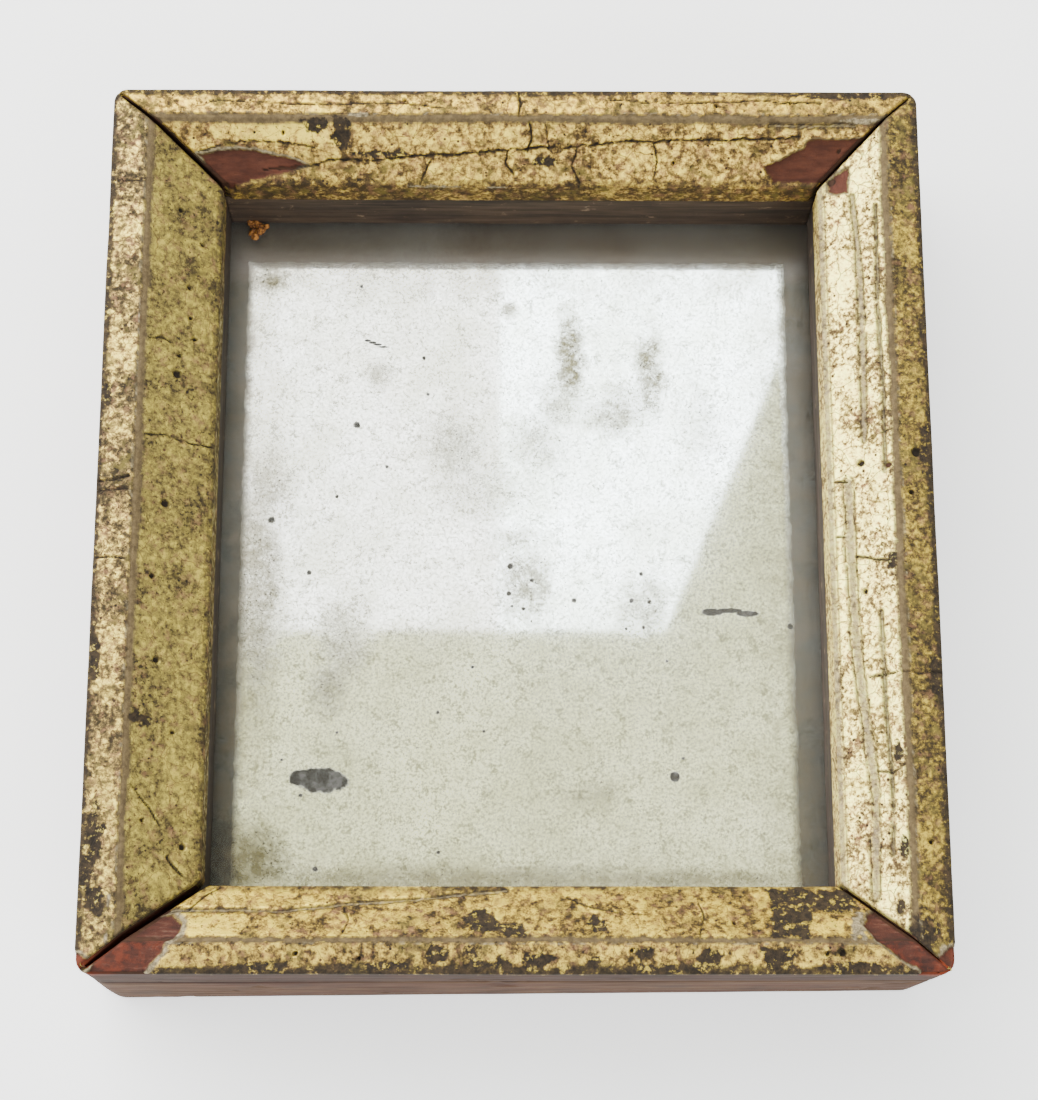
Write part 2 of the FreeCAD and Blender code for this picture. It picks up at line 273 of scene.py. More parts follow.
# Open cracks: points and width
CRACKS = {
    "top": [
        ([
            (-48, 14.1), (-41, 13.6), (-35, 12.7), (-24, 12.2), (-11, 11.4), (8.4, 10.4), (21, 9.6),
            (36, 9.3), (54, 8.8),
        ], 0.42),
        ([(-60, 11.3), (-52, 9.6), (-46, 9.7), (-38, 10.6)], 0.3),
        ([(2.4, 6.6), (3, 9), (2.2, 11)], 0.4),
        ([(-1.5, 11), (-1.8, 13), (-0.6, 14.4)], 0.35),
        ([(11.5, 10.4), (10.8, 13.4), (12.4, 16)], 0.35),
        ([(5.6, 7), (6.4, 10.2)], 0.35),
        ([(-16, 12.6), (-17.6, 14.6), (-18.2, 16)], 0.3),
        ([(26, 9.6), (27, 12.6), (26.2, 15.4)], 0.3),
        ([(0.4, 0.6), (0.9, 3), (0.5, 5.4)], 0.5),
        ([(-58, 2.4), (-40, 3.2), (-22, 2.8), (-14, 3.8)], 0.3),
        ([(18, 2.2), (31, 2.8), (44, 2.2), (58, 2.6)], 0.3),
    ],
    "bottom": [
        ([(-57, 11.4), (-54.5, 14), (-52, 15.6)], 0.32),
        ([(9, 13.6), (15, 11.4), (22, 10.6)], 0.3),
        ([(32, 7), (33, 10), (32.2, 13)], 0.3),
        ([(-30, 7), (-29, 9.4), (-30.2, 12)], 0.3),
    ],
    "left": [
        ([(14.4, 8.5), (14.9, 12), (14.0, 16), (14.1, 20)], 0.36),
        ([(5.3, 0.4), (5.6, 3), (6.5, 6)], 0.55),
        ([(3.4, 0.4), (3.7, 3), (4.0, 6)], 0.5),
        ([(-9, 0.4), (-8.9, 3), (-9.2, 6)], 0.32),
        ([(-50, 8.6), (-53, 11), (-57, 13.4)], 0.36),
        ([(-62, 15), (-65.4, 17.2)], 0.5),
        ([(33, 8.4), (33.6, 10.6), (32.8, 12.2)], 0.34),
        ([(64, 0.6), (63.8, 3.4), (64.1, 6.2)], 0.3),
    ],
    "right": [
        ([(7.5, 17), (7.1, 15.2)], 0.4),
        ([(-3.4, 15), (-3.2, 17)], 0.3),
        ([(-8.8, 8.4), (-8.2, 11), (-7.2, 14.2)], 0.4),
        ([(-29.7, 0.2), (-29.8, 4), (-29.4, 8), (-29.8, 12.6)], 0.4),
        ([(-46, 7.4), (-47.6, 9.4), (-46.8, 12)], 0.36),
        ([(16, 7.4), (15.4, 9.2)], 0.3),
    ],
}
# Long seams where the gesso has parted and shows grey between two dark edges: points and width
SEAMS = {
    "right": [
        ([(62.9, 12.6), (51.8, 11.9), (35.9, 11.6), (25, 11.8), (14.5, 12)], 0.5),
        ([(7.1, 14.9), (-7.7, 14.9), (-25.7, 14.5), (-41, 13.2), (-51.3, 12.3), (-69.2, 13)], 0.75),
        ([(60, 8.6), (40, 8.9), (22, 8.5), (8, 8.8)], 0.22),
        ([(-18, 10.4), (-34, 10.2), (-50, 9.6), (-62, 9.9)], 0.22),
    ],
    "bottom": [
        ([
            (-61, 11.3), (-52, 11.5), (-41, 11.1), (-29.5, 12.6), (-20, 13.2), (-10, 14.4),
            (-1.7, 15.2),
        ], 0.3),
    ],
    "top": [([(48, 7.1), (56, 7.2), (64, 7.0)], 0.3)],
}
# Worm holes and pits: (along, in, radius)
PITS = {
    "top": [
        (62.6, 16.6, 0.9), (38, 3.2, 0.45), (52, 2.6, 0.4), (-44, 8.4, 0.4), (30, 12.8, 0.35),
        (-21, 2.2, 0.4), (61.5, 11, 0.4),
    ],
    "bottom": [
        (53.8, 3.4, 0.45), (56.4, 3.6, 0.7), (-38, 3.4, 0.5), (-27, 2.6, 0.4), (38, 9, 0.4),
        (20, 4, 0.4),
    ],
    "left": [
        (59.4, 13.2, 0.6), (53.4, 17.1, 0.45), (44.3, 15.1, 0.5), (38.4, 15.5, 0.45), (34.4, 16.3, 0.5),
        (30.7, 13.8, 0.45), (27, 13.6, 0.85), (2, 12.4, 0.8), (-27.2, 11.8, 0.6), (-56, 10.6, 0.45),
        (-60.2, 17.3, 0.65), (-12, 10.6, 0.5), (-40, 15, 0.45),
    ],
    "right": [
        (67, 16.2, 0.8), (11.2, 3.0, 1.0), (10.2, 12.7, 0.7), (9.1, 8.2, 0.65), (-14, 12.8, 0.5),
        (-60, 3.4, 0.5), (3.6, 4.2, 0.6),
    ],
}
# Seed of each rail's noise, and how dark its lip is painted as shade, darkest where the lip faces away from
# the light
SEEDS = {"top": 11, "bottom": 23, "left": 37, "right": 41}
LIP_SHADE = {"top": 0.95, "bottom": 0.6, "left": 0.95, "right": 0.3}
# How wide the brown line is along each rail's outer arris, where the leaf has worn and where shade is painted
# on the arris as it turns away
ARRIS_WEAR_AND_SHADE = {"top": 1.4, "bottom": 1.8, "left": 1.2, "right": 1.5}
# Half the width of the worn line along each rail's ridge
RIDGE_WEAR = {"top": 0.72, "bottom": 0.42, "left": 0.66, "right": 0.62}
# Rails whose lip top is painted pale as a highlight where the lip faces the light, with a dark line beside it
LIPS_PAINTED_LIT = ("right",)
# Ends of each rail, as -1 and 1 along it, where the bole is freshly broken and bright
TIP_ENDS = {"top": (), "bottom": (-1, 1), "left": (-1,), "right": (-1,)}
# How deep each kind of wear goes into the front, in millimetres
RUB_DEPTH = 0.2
STAIN_DEPTH = 0.1
CRACK_DEPTH = 0.45
CRACK_LIFT = 0.07
SEAM_DEPTH = 0.22
SEAM_EDGE_DEPTH = 0.3
PIT_DEPTH = 0.7
PATCH_RISE = 0.08
CHIP_DEPTH = 0.6
CHIP_SIDE_DEPTH = 0.9
RIM_DEPTH = 0.14


def hump(value, width):
    """1 where the value is 0, falling smoothly to nothing over about twice the width."""
    return np.exp(-((value / width) ** 2))


class WornFront:
    """One rail's front: the depth of wear at each place, and how far each layer shows there, from 0 to 1."""

    def __init__(self, side, along, inward):
        self.side, self.along, self.inward = side, along, inward
        self.seed = SEEDS[side]
        self.band = WIDTHS[side] * BAND_SHARE
        self.wobble = self.noise(2.2, 0) - 0.5
        self.fine = self.noise(0.9, 5) - 0.5
        self.depth = 0.16 * (self.noise(14, 9, 3) - 0.5) + 0.05 * self.fine
        self.layers = {layer: np.zeros(np.shape(along)) for layer in ("bare", "gesso", "dark", "stain")}

    def noise(self, size, number, octaves=4):
        """Noise over the front whose largest features are about size across."""
        return fractal(self.along, self.inward, size, self.seed + number, octaves)

    def noise_along(self, size, number):
        """Noise that changes along the rail only."""
        return fractal(self.along, np.zeros(np.shape(self.along)), size, self.seed + number)

    def blob(self, place, number):
        """1 inside a ragged oval patch and 0 outside."""
        centre_a, centre_t, half_a, half_t = place
        ragged = 1.6 * (self.noise(3.2, number, 5) - 0.5) + 1.2 * (self.noise(0.9, number + 7) - 0.5)
        reach = np.hypot((self.along - centre_a) / half_a, (self.inward - centre_t) / half_t) + ragged
        return 1 - step_up(reach, 0.86, 1.0)

    def outside(self, points):
        """Distance outside an outline, and less than 0 inside it."""
        return inside_outline(self.along, self.inward, points)

    def show(self, layer, share):
        self.layers[layer] = np.maximum(self.layers[layer], share)

    def cut(self, depth):
        self.depth = self.depth + depth

    def wear_edges(self):
        """The rubbed line along the ridge with painted shadow at its edges, the outer arris worn and painted
        with shade, and the lip with its worn line or painted highlight.
        """
        from_ridge = self.inward - self.band
        worn_line = np.abs(from_ridge + 0.5 * (self.noise_along(9, 2) - 0.5)) + 0.7 * self.fine
        half_line = RIDGE_WEAR[self.side] * (0.75 + 0.5 * self.noise_along(12, 14))
        self.layers["rub"] = 1 - step_up(worn_line, half_line, half_line + 0.16)
        self.cut(RUB_DEPTH * self.layers["rub"])
        outer_edge = hump(from_ridge + half_line + 0.25 + 0.3 * self.fine, 0.15)
        self.show("gesso", 0.9 * outer_edge * step_up(self.noise_along(1.3, 15), 0.5, 0.62))
        # Dark lines along both sides of the rubbed line are painted shadow at the leaf's raised edges
        self.show("dark", 0.6 * hump(worn_line - half_line - 0.14, 0.16))

        # The brown line on the arris is worn leaf and painted shade together
        arris = ARRIS_WEAR_AND_SHADE[self.side] * (0.4 + 1.2 * self.noise_along(5, 16))
        stained_down_to = -9.0 if self.side == "bottom" else -1.0
        on_arris = 1 - step_up(self.inward + 0.8 * self.fine, arris * 0.6, arris)
        self.show("stain", 0.92 * on_arris * (self.inward > stained_down_to))

        to_lip = WIDTHS[self.side] - self.inward
        lip_line = (1 - step_up(np.abs(to_lip - 0.45 + 0.3 * self.fine), 0.35, 0.6)) * (to_lip > -0.3)
        if self.side in LIPS_PAINTED_LIT:
            # Along a lit lip's top the pale gesso tone is a painted highlight, with a dark line just outside
            # it
            self.show("gesso", 0.75 * lip_line)
            self.show("dark", 0.7 * hump(to_lip - 1.2 + 0.4 * self.fine, 0.16))
        else:
            self.show("stain", 0.5 * lip_line)

    def lose_leaf(self):
        """Patches where the leaf has gone down to brown size."""
        for place in STAINS.get(self.side, []):
            self.show("stain", self.blob(place, 31))
        for points in STAIN_SHAPES.get(self.side, []):
            away = self.outside(points) + 2.6 * self.wobble + 1.3 * self.fine
            self.show("stain", step_up(-away, -0.05, 0.25))
        self.cut(STAIN_DEPTH * self.layers["stain"])

    def crack(self):
        """Open cracks with lifted edges, which close here and there."""
        broken = self.noise(2.6, 43)
        across = self.inward + 0.7 * self.wobble + 0.5 * self.fine
        for points, width in CRACKS.get(self.side, []):
            away = distance_to_line(self.along + 0.9 * self.wobble, across, points)
            local = width * (0.2 + 0.75 * broken)
            line = 1 - step_up(away, local * 0.3, local * 0.9)
            self.cut(CRACK_DEPTH * line * min(1.0, width / 0.4))
            self.cut(-CRACK_LIFT * hump(away - local * 1.4, 0.3))
            self.show("dark", line * step_up(broken, 0.2, 0.42))
            self.show("stain", 0.7 * (1 - step_up(away, local * 0.7, local * 1.5)))

    def part_seams(self):
        """Long seams of bare gesso between two dark edges."""
        across = self.inward + 0.4 * self.wobble + 0.35 * self.fine
        for points, width in SEAMS.get(self.side, []):
            away = distance_to_line(self.along + 0.5 * self.wobble, across, points)
            local = width * (0.6 + 0.9 * self.noise_along(6, 51))
            parted = 1 - step_up(away, local * 0.5, local * 0.75)
            self.show("gesso", 0.75 * parted)
            edges = hump(away - local * 0.95, 0.2) * step_up(self.noise(2, 52), 0.22, 0.4)
            self.show("dark", 0.95 * edges)
            self.cut(SEAM_DEPTH * parted)
            self.cut(SEAM_EDGE_DEPTH * edges)

    def bore_pits(self):
        """Worm holes and pits."""
        for centre_a, centre_t, radius in PITS.get(self.side, []):
            away = np.hypot(self.along - centre_a, self.inward - centre_t) + 0.25 * self.fine
            hole = 1 - step_up(away, radius * 0.7, radius)
            self.cut(PIT_DEPTH * hole)
            self.show("dark", hole)

    def bare_gesso(self):
        """Grey gesso where only the leaf has gone."""
        for place in GESSO_PATCHES.get(self.side, []):
            patch = self.blob(place, 61)
            self.show("gesso", patch)
            self.cut(-PATCH_RISE * patch)

    def chip(self):
        """Chips down to the bare wood, each with a rim of broken gesso."""
        for rim_width, rim_limit, points in CHIPS.get(self.side, []):
            away = self.outside(points) + 0.7 * self.wobble + 0.5 * self.fine
            self.cut(CHIP_DEPTH * step_up(-away, -0.05, 0.3))
            self.show("bare", step_up(-away, -0.02, 0.25))
            reach = rim_width * (1 + 1.6 * self.wobble)
            rim = step_up(-away, -reach - 0.12, -reach + 0.12) * (1 - self.layers["bare"])
            rim = rim * (1 - step_up(self.inward, rim_limit - 0.8, rim_limit))
            self.show("gesso", rim)
            self.show("dark", 0.5 * hump(away + 0.05, 0.16))
            self.cut(RIM_DEPTH * rim)
            self.cut(CHIP_SIDE_DEPTH * step_up(-away, 0.1, 0.5) * step_up(-self.inward, -0.2, 0.4))

    def soil(self):
        """Painted shade on the lip, grime along the arris and in patches, with a few plates rubbed clean."""
        on_lip = step_up(self.inward, WIDTHS[self.side] - 0.5, WIDTHS[self.side] + 0.3)
        edge_dirt = 0.6 * (1 - step_up(self.inward + 1.2 * self.fine, 0.2, 0.9))
        patches = 0.35 * step_up(self.noise(11, 88), 0.55, 0.7)
        # The lip's share is painted shade, set per rail by how its lip faces the light
        grime_and_shade = np.clip(LIP_SHADE[self.side] * on_lip + edge_dirt + patches, 0, 1)
        for points in PLATES.get(self.side, []):
            clean = step_up(-(self.outside(points) + 1.0 * self.wobble), -0.2, 0.3)
            grime_and_shade = grime_and_shade * (1 - clean) - 1.3 * clean
        self.layers["grime_and_shade"] = grime_and_shade


def aged_surface(side, along, inward):
    """How deep the front is worn at each place, and what layer shows there, as arrays from 0 to 1."""
    front = WornFront(side, along, inward)
    front.wear_edges()
    front.lose_leaf()
    front.crack()
    front.part_seams()
    front.bore_pits()
    front.bare_gesso()
    front.chip()
    front.soil()
    front.layers["band"] = 1 - step_up(inward, front.band - 0.3, front.band + 0.3)
    return front.depth, front.layers


# ---------------------------------------------------------------- rails as swept grids


def place_on(side, along, inward, height):
    """Row-frame points from a place along a rail, in from its outer face, and up."""
    if side == "top":
        return np.stack([along, HALF_H - inward, height], -1)
    if side == "bottom":
        return np.stack([along, -HALF_H + inward, height], -1)
    if side == "left":
        return np.stack([-HALF_W + inward, along, height], -1)
    return np.stack([HALF_W - inward, along, height], -1)


def rail_ends(side, inward):
    """Where a rail's two mitred ends are at each distance in from its outer face."""
    neighbours = ("left", "right") if runs_along_x(side) else ("bottom", "top")
    ends = []
    for sign, neighbour in zip((-1, 1), neighbours):
        corner = (side, neighbour) if runs_along_x(side) else (neighbour, side)
        slope = WIDTHS[neighbour] / WIDTHS[side]
        gap = MITRE_GAPS[corner] / 2 * math.hypot(1, slope)
        ends.append(sign * (half_length(side) - np.maximum(inward, 0) * slope - gap))
    return ends


def resample(points, spacing, softness, closed=False):
    """A line of evenly spaced points with its corners softened."""
    points = np.array(points, float)
    if closed:
        points = np.vstack([points, points[:1]])
    lengths = np.hypot(*np.diff(points, axis=0).T)
    walked = np.concatenate([[0], np.cumsum(lengths)])
    fine_step = 0.05
    count = int(walked[-1] / fine_step)
    at = np.linspace(0, walked[-1], count + 1)
    fine = np.stack([np.interp(at, walked, points[:, i]) for i in (0, 1)], -1)
    reach = int(3 * softness / fine_step)
    kernel = np.exp(-0.5 * (np.arange(-reach, reach + 1) * fine_step / softness) ** 2)
    kernel /= kernel.sum()
    if closed:
        padded = np.vstack([fine[-reach - 1 : -1], fine, fine[1 : reach + 1]])
    else:
        start = 2 * fine[0] - fine[reach:0:-1]
        stop = 2 * fine[-1] - fine[-2 : -reach - 2 : -1]
        padded = np.vstack([start, fine, stop])
    smooth = np.stack([np.convolve(padded[:, i], kernel, "valid") for i in (0, 1)], -1)
    steps = max(3, int(round(walked[-1] / spacing)))
    pick = np.round(np.linspace(0, count, steps + 1)).astype(int)
    return smooth[pick[:-1]] if closed else smooth[pick]


def outward_normals(line, closed=False):
    """Unit normals on the left of a line of points in (inward, up), which is its outer side."""
    if closed:
        run = np.roll(line, -1, 0) - np.roll(line, 1, 0)
    else:
        run = np.gradient(line, axis=0)
    normal = np.stack([-run[:, 1], run[:, 0]], -1)
    return normal / np.linalg.norm(normal, axis=1, keepdims=True)


def mesh_object(name, vertices, faces, material, attributes=None, smooth=True):
    """A new object from vertices in millimetres."""
    mesh = bpy.data.meshes.new(name)
    mesh.from_pydata((np.asarray(vertices) * MM).tolist(), [], faces)
    for key, values in (attributes or {}).items():
        layer = mesh.attributes.new(key, "FLOAT", "POINT")
        layer.data.foreach_set("value", np.asarray(values, np.float32))
    mesh.materials.append(material)
    mesh.polygons.foreach_set("use_smooth", [smooth] * len(mesh.polygons))
    mesh.update()
    piece = bpy.data.objects.new(name, mesh)
    bpy.context.scene.collection.objects.link(piece)
    return piece


# Lean of the outer faces at the shared corner, radius of the frame's corners and what wear adds at the back
LEAN = 1.4
CORNER_RADIUS, CORNER_WEAR = 2.6, 1.4


def depth_below_front(height):
    """0 at the outer arris and above it, 1 at the back."""
    return np.clip((FRONT_Z - height) / FRONT_Z, 0, 1)


def lean(side, along, inward, height):
    """How far the outer faces of two rails lean out towards the back, most at the corner that they share."""
    share = step_up(depth_below_front(height), 0.0, 1.0) * (inward < 0.6)
    if side == "bottom":
        return LEAN * share * np.clip((HALF_W - along) / (2 * HALF_W), 0, 1)
    if side == "left":
        return LEAN * share * np.clip(-along / HALF_H, 0, 1)
    return np.zeros(np.shape(along))


def corner_rounding(side, along, inward, height):
    """How far the outer face is pulled in near the frame's corners, more so towards the back."""
    radius = CORNER_RADIUS + CORNER_WEAR * depth_below_front(height)
    beyond = np.clip(radius - (half_length(side) - np.abs(along)), 0, radius)
    pull = radius - np.sqrt(np.maximum(radius**2 - beyond**2, 0))
    return pull * (1 - step_up(inward, 0.0, radius * 1.5))


def grid_faces(rows, columns, wrap=False):
    """Quads over a grid of rows by columns, whose rows join up again when wrap is true."""
    last = rows if wrap else rows - 1
    i = np.arange(last)[:, None]
    j = np.arange(columns - 1)[None, :]
    below = (i * columns + j).ravel()
    above = (((i + 1) % rows) * columns + j).ravel()
    return np.stack([below, below + 1, above + 1, above], -1)


def closed_underneath(rows, columns):
    """Faces of a grid and of its underside, where two points follow the grid's own for each of its rows."""
    faces = grid_faces(rows, columns).tolist()
    base = rows * columns
    for row in range(rows - 1):
        start, under = row * columns, base + 2 * row
        end = start + columns - 1
        faces.append([under, under + 2, under + 3, under + 1])
        faces.append([start, start + columns, under + 2, under])
        faces.append([end, under + 1, under + 3, end + columns])
    start = (rows - 1) * columns
    faces.append([base, base + 1] + list(range(columns - 1, -1, -1)))
    faces.append([base + 2 * rows - 1, base + 2 * rows - 2] + list(range(start, start + columns)))
    return faces


def facing_out(side, faces):
    """Faces turned over on the two rails whose grids run the other way round."""
    return [face[::-1] for face in faces] if side in ("top", "left") else faces


def spread(line, columns):
    """The inward and the up values of a line's points, each repeated along the rail."""
    return np.repeat(line[:, :1], columns, 1), np.repeat(line[:, 1:], columns, 1)


def worn_places(side, along, inward, height, normals, depth):
    """Row-frame points of a rail's surface once it is worn, leaning and rounded at the corners."""
    pulled = corner_rounding(side, along, inward, height) - lean(side, along, inward, height)
    sunk = np.maximum(height - normals[:, 1:] * depth, 0.0)
    return place_on(side, along, inward - normals[:, :1] * depth + pulled, sunk).reshape(-1, 3)


# Grids: points along each rail, spacing of points across it and how softly its corners are rounded
LEAF_COLUMNS, LEAF_SPACING, LEAF_ROUNDING = 580, 0.28, 0.32
CORE_COLUMNS, CORE_SPACING, CORE_ROUNDING = 200, 0.6, 0.3
# How far the gilding runs down the outer face
SIDE_LAP = 3.4


def gilded_skin(side, material):
    """The gesso and leaf over one rail's front: a fine relief with chips and cracks, closed underneath."""
    width = WIDTHS[side]
    outline = [
        (-PROUD, FRONT_Z - SIDE_LAP),
        (-PROUD, FRONT_Z),
        (width * BAND_SHARE, RIDGE_Z),
        (width, LIP_TOP_Z),
        (width, LIP_BOTTOM_Z),
    ]
    line = resample(outline, LEAF_SPACING, LEAF_ROUNDING)
    normals = outward_normals(line)
    inward, height = spread(line, LEAF_COLUMNS)
    low_end, high_end = rail_ends(side, inward)
    seed = SEEDS[side]
    frayed = np.abs(0.5 * (fractal(inward, height, 2.4, seed + 71) - 0.5))
    along = low_end + frayed + (high_end - low_end - 2 * frayed) * np.linspace(0, 1, LEAF_COLUMNS)

    # Marks are placed by the distance over the surface, so that they run on down the lip and the outer face
    over = np.where(height < LIP_TOP_Z, inward + (LIP_TOP_Z - height), inward)
    over = np.where((inward < 0.4) & (height < FRONT_Z), inward - (FRONT_Z - height), over)
    depth, layers = aged_surface(side, along, over)
    # The leaf thins out along a ragged line on the outer face
    ragged = 2.0 * fractal(along, height * 0, 3.0, seed + 77)
    skirt = (FRONT_Z - 1.0 - ragged) - height
    depth = depth + (PROUD + 0.25) * (step_up(skirt, -0.5, 0.6) * (inward < 0.4))
    # Its ends at the mitres are rounded and dark
    from_end = np.minimum(np.abs(along - low_end), np.abs(high_end - along))
    depth = depth + 0.35 * hump(from_end, 0.35)
    layers["dark"] = np.maximum(layers["dark"], 0.8 * hump(from_end, 0.3))

    top = worn_places(side, along, inward, height, normals, depth)
    under = line - normals * (GESSO + 0.35)
    under_ends = np.stack(rail_ends(side, under[:, 0]), 1)
    hidden = place_on(side, under_ends, *spread(under, 2)).reshape(-1, 3)
    faces = facing_out(side, closed_underneath(len(line), LEAF_COLUMNS))
    padded = {key: np.concatenate([value.ravel(), np.zeros(len(hidden))]) for key, value in layers.items()}
    return mesh_object("leaf_" + side, np.vstack([top, hidden]), faces, material, padded)


def rail_core(side, material):
    """The wood of one rail: its worn outer side, back, rebate and lip, with end grain at the mitres."""
    width = WIDTHS[side]
    foot = width - REBATE
    outline = [
        (0, 0),
        (0, FRONT_Z - GESSO),
        (width * BAND_SHARE, RIDGE_Z - GESSO),
        (width - GESSO, LIP_TOP_Z - GESSO * 0.6),
        (width - GESSO, LIP_BOTTOM_Z),
        (foot, LIP_BOTTOM_Z),
        (foot, 0),
    ]
    line = resample(outline, CORE_SPACING, CORE_ROUNDING, closed=True)
    normals = outward_normals(line, closed=True)
    rows, columns = len(line), CORE_COLUMNS
    inward, height = spread(line, columns)
    low_end, high_end = rail_ends(side, inward)
    along = low_end + (high_end - low_end) * np.linspace(0, 1, columns)

    seed = SEEDS[side] + 200
    outer = (inward < 1.0) & (height < FRONT_Z - GESSO - 0.3)
    back = height < 0.6
    across = np.where(outer, height, inward + 60)
    grain = fractal(along / 14, across, 1.4, seed) - 0.5
    dents = step_up(fractal(along, across, 9, seed + 3), 0.66, 0.8)
    depth = np.where(outer | back, 0.1 * grain + 0.25 * dents + 0.06, 0.0)
    depth = np.where(back, np.maximum(depth * 0.6, 0.0), depth)
    groove = hump(height - JOIN_Z - 0.8 * grain, 0.8) * outer
    depth = depth + (0.35 + 0.3 * grain) * groove

    tip = np.zeros(np.shape(along))
    patchy = 4 * (fractal(along, inward + height, 2.5, seed + 9) - 0.5)
    for end in TIP_ENDS[side]:
        from_corner = (along - end * half_length(side)) ** 2 + (inward * 0.7) ** 2
        away = np.sqrt(from_corner + ((FRONT_Z - height) * 1.2) ** 2)
        tip = np.maximum(tip, 1 - step_up(away + patchy, 3.0, 8.0))

    faces = grid_faces(rows, columns, wrap=True).tolist()
    faces.append([row * columns for row in range(rows)])
    faces.append([row * columns + columns - 1 for row in range(rows - 1, -1, -1)])
    places = worn_places(side, along, inward, height, normals, depth)
    layers = {"tip": tip.ravel(), "groove": groove.ravel()}
    piece = mesh_object("core_" + side, places, facing_out(side, faces), material, layers)
    for polygon in list(piece.data.polygons)[-2:]:
        polygon.use_smooth = False
    return piece


# ---------------------------------------------------------------- materials


class Shader:
    """A node material with one Principled shader and short calls for the nodes that feed it."""

    def __init__(self, name):
        self.material = bpy.data.materials.new(name)
        self.material.use_nodes = True
        self.tree = self.material.node_tree
        self.surface = self.tree.nodes["Principled BSDF"]
        self.place = self.node("TexCoord").outputs["Object"]

    def node(self, kind):
        return self.tree.nodes.new("ShaderNode" + kind)

    def feed(self, socket, value):
        """Links a node's output to a socket, or sets the socket to a plain value."""
        if isinstance(value, bpy.types.NodeSocket):
            self.tree.links.new(value, socket)
        elif isinstance(value, tuple) and len(value) == 3 and socket.type == "RGBA":
            socket.default_value = value + (1.0,)
        else:
            socket.default_value = value

    def set(self, **values):
        for key, value in values.items():
            self.feed(self.surface.inputs[key.replace("_", " ")], value)

    def stretched(self, scale):
        node = self.node("Mapping")
        self.feed(node.inputs["Vector"], self.place)
        node.inputs["Scale"].default_value = scale
        return node.outputs["Vector"]

    def along_grain(self, side, stretch):
        """Coordinates that draw noise out along a rail."""
        return self.stretched((stretch, 1, 1) if runs_along_x(side) else (1, stretch, 1))

    def split_place(self):
        """The X, Y and Z of the place, as the outputs of one node."""
        node = self.node("SeparateXYZ")
        self.feed(node.inputs[0], self.place)
        return node.outputs

    def noise(self, size, detail=3.0, rough=0.55, vector=None):
        """Noise whose features are about size millimetres across."""
        node = self.node("TexNoise")
        self.feed(node.inputs["Vector"], vector or self.place)
        node.inputs["Scale"].default_value = 1 / (size * MM)
        node.inputs["Detail"].default_value = detail
        node.inputs["Roughness"].default_value = rough
        return node.outputs["Fac"]

    def cells(self, size, feature="F1", vector=None):
        node = self.node("TexVoronoi")
        node.feature = feature
        self.feed(node.inputs["Vector"], vector or self.place)
        node.inputs["Scale"].default_value = 1 / (size * MM)
        return node.outputs["Distance"]

    def attribute(self, name):
        node = self.node("Attribute")
        node.attribute_name = name
        return node.outputs["Fac"]

    def math(self, operation, a, b, clamp=False):
        node = self.node("Math")
        node.operation = operation
        node.use_clamp = clamp
        self.feed(node.inputs[0], a)
        self.feed(node.inputs[1], b)
        return node.outputs[0]

    def add(self, a, b):
        return self.math("ADD", a, b)

    def subtract(self, a, b, clamp=False):
        return self.math("SUBTRACT", a, b, clamp)

    def multiply(self, a, b):
        return self.math("MULTIPLY", a, b)

    def largest(self, first, *others):
        for other in others:
            first = self.math("MAXIMUM", first, other)
        return first

    def span(self, value, low, high, start=0.0, stop=1.0):
        """value from low to high, as start to stop, held at the ends."""
        node = self.node("MapRange")
        self.feed(node.inputs["Value"], value)
        for key, number in (("From Min", low), ("From Max", high), ("To Min", start), ("To Max", stop)):
            node.inputs[key].default_value = number
        return node.outputs["Result"]

    def mix(self, share, first, second):
        node = self.node("Mix")
        node.data_type = "RGBA"
        self.feed(node.inputs["Factor"], share)
        self.feed(node.inputs["A"], first)
        self.feed(node.inputs["B"], second)
        return node.outputs["Result"]

    def layered(self, colour, *layers):
        """A colour with others laid over it in turn, each given after its share."""
        for share, over in layers:
            colour = self.mix(share, colour, over)
        return colour

    def two_tone(self, value, low, high, first, second):
        """The first colour where value is low, the second where it is high."""
        return self.mix(self.span(value, low, high), first, second)

    def ramp(self, value, levels, colours):
        """A colour that goes through each of the colours as value goes through the levels."""
        node = self.node("ValToRGB")
        stops = node.color_ramp.elements
        while len(stops) < len(levels):
            stops.new(0.5)
        for stop, level, colour in zip(stops, levels, colours):
            stop.position = level
            stop.color = colour + (1.0,)
        self.feed(node.inputs["Fac"], value)
        return node.outputs["Color"]

    def bump(self, height, distance, strength=1.0):
        node = self.node("Bump")
        node.inputs["Strength"].default_value = strength
        node.inputs["Distance"].default_value = distance * MM
        self.feed(node.inputs["Height"], height)
        self.feed(self.surface.inputs["Normal"], node.outputs["Normal"])


def tone(red, green, blue):
    """A colour given as 0 to 255 on screen, as the linear values that shaders take."""
    values = [channel / 255 for channel in (red, green, blue)]
    return tuple(v / 12.92 if v <= 0.04045 else ((v + 0.055) / 1.055) ** 2.4 for v in values)


BOLE_BRIGHT = tone(118, 50, 27)
WOOD_DARK, WOOD_SCUFFED = tone(40, 27, 21), tone(164, 138, 112)
GESSO_PALE, GESSO_GREY = tone(158, 144, 112), tone(90, 80, 60)
GRIME, SPECK_BROWN = tone(32, 25, 18), tone(78, 54, 34)
RUBBED_DARK, RUBBED_PALE = tone(74, 61, 40), tone(100, 84, 56)
STAIN_DARK, STAIN_PALE = tone(28, 22, 16), tone(54, 43, 29)
SCUFFED = tone(150, 132, 112)
ROSY_GOLD, OLIVE_GOLD = tone(190, 138, 100), tone(150, 134, 60)
# Light, dark and worn tones of the fillets
FILLET_TONES = ((60, 47, 36), (27, 20, 15), (44, 33, 24))
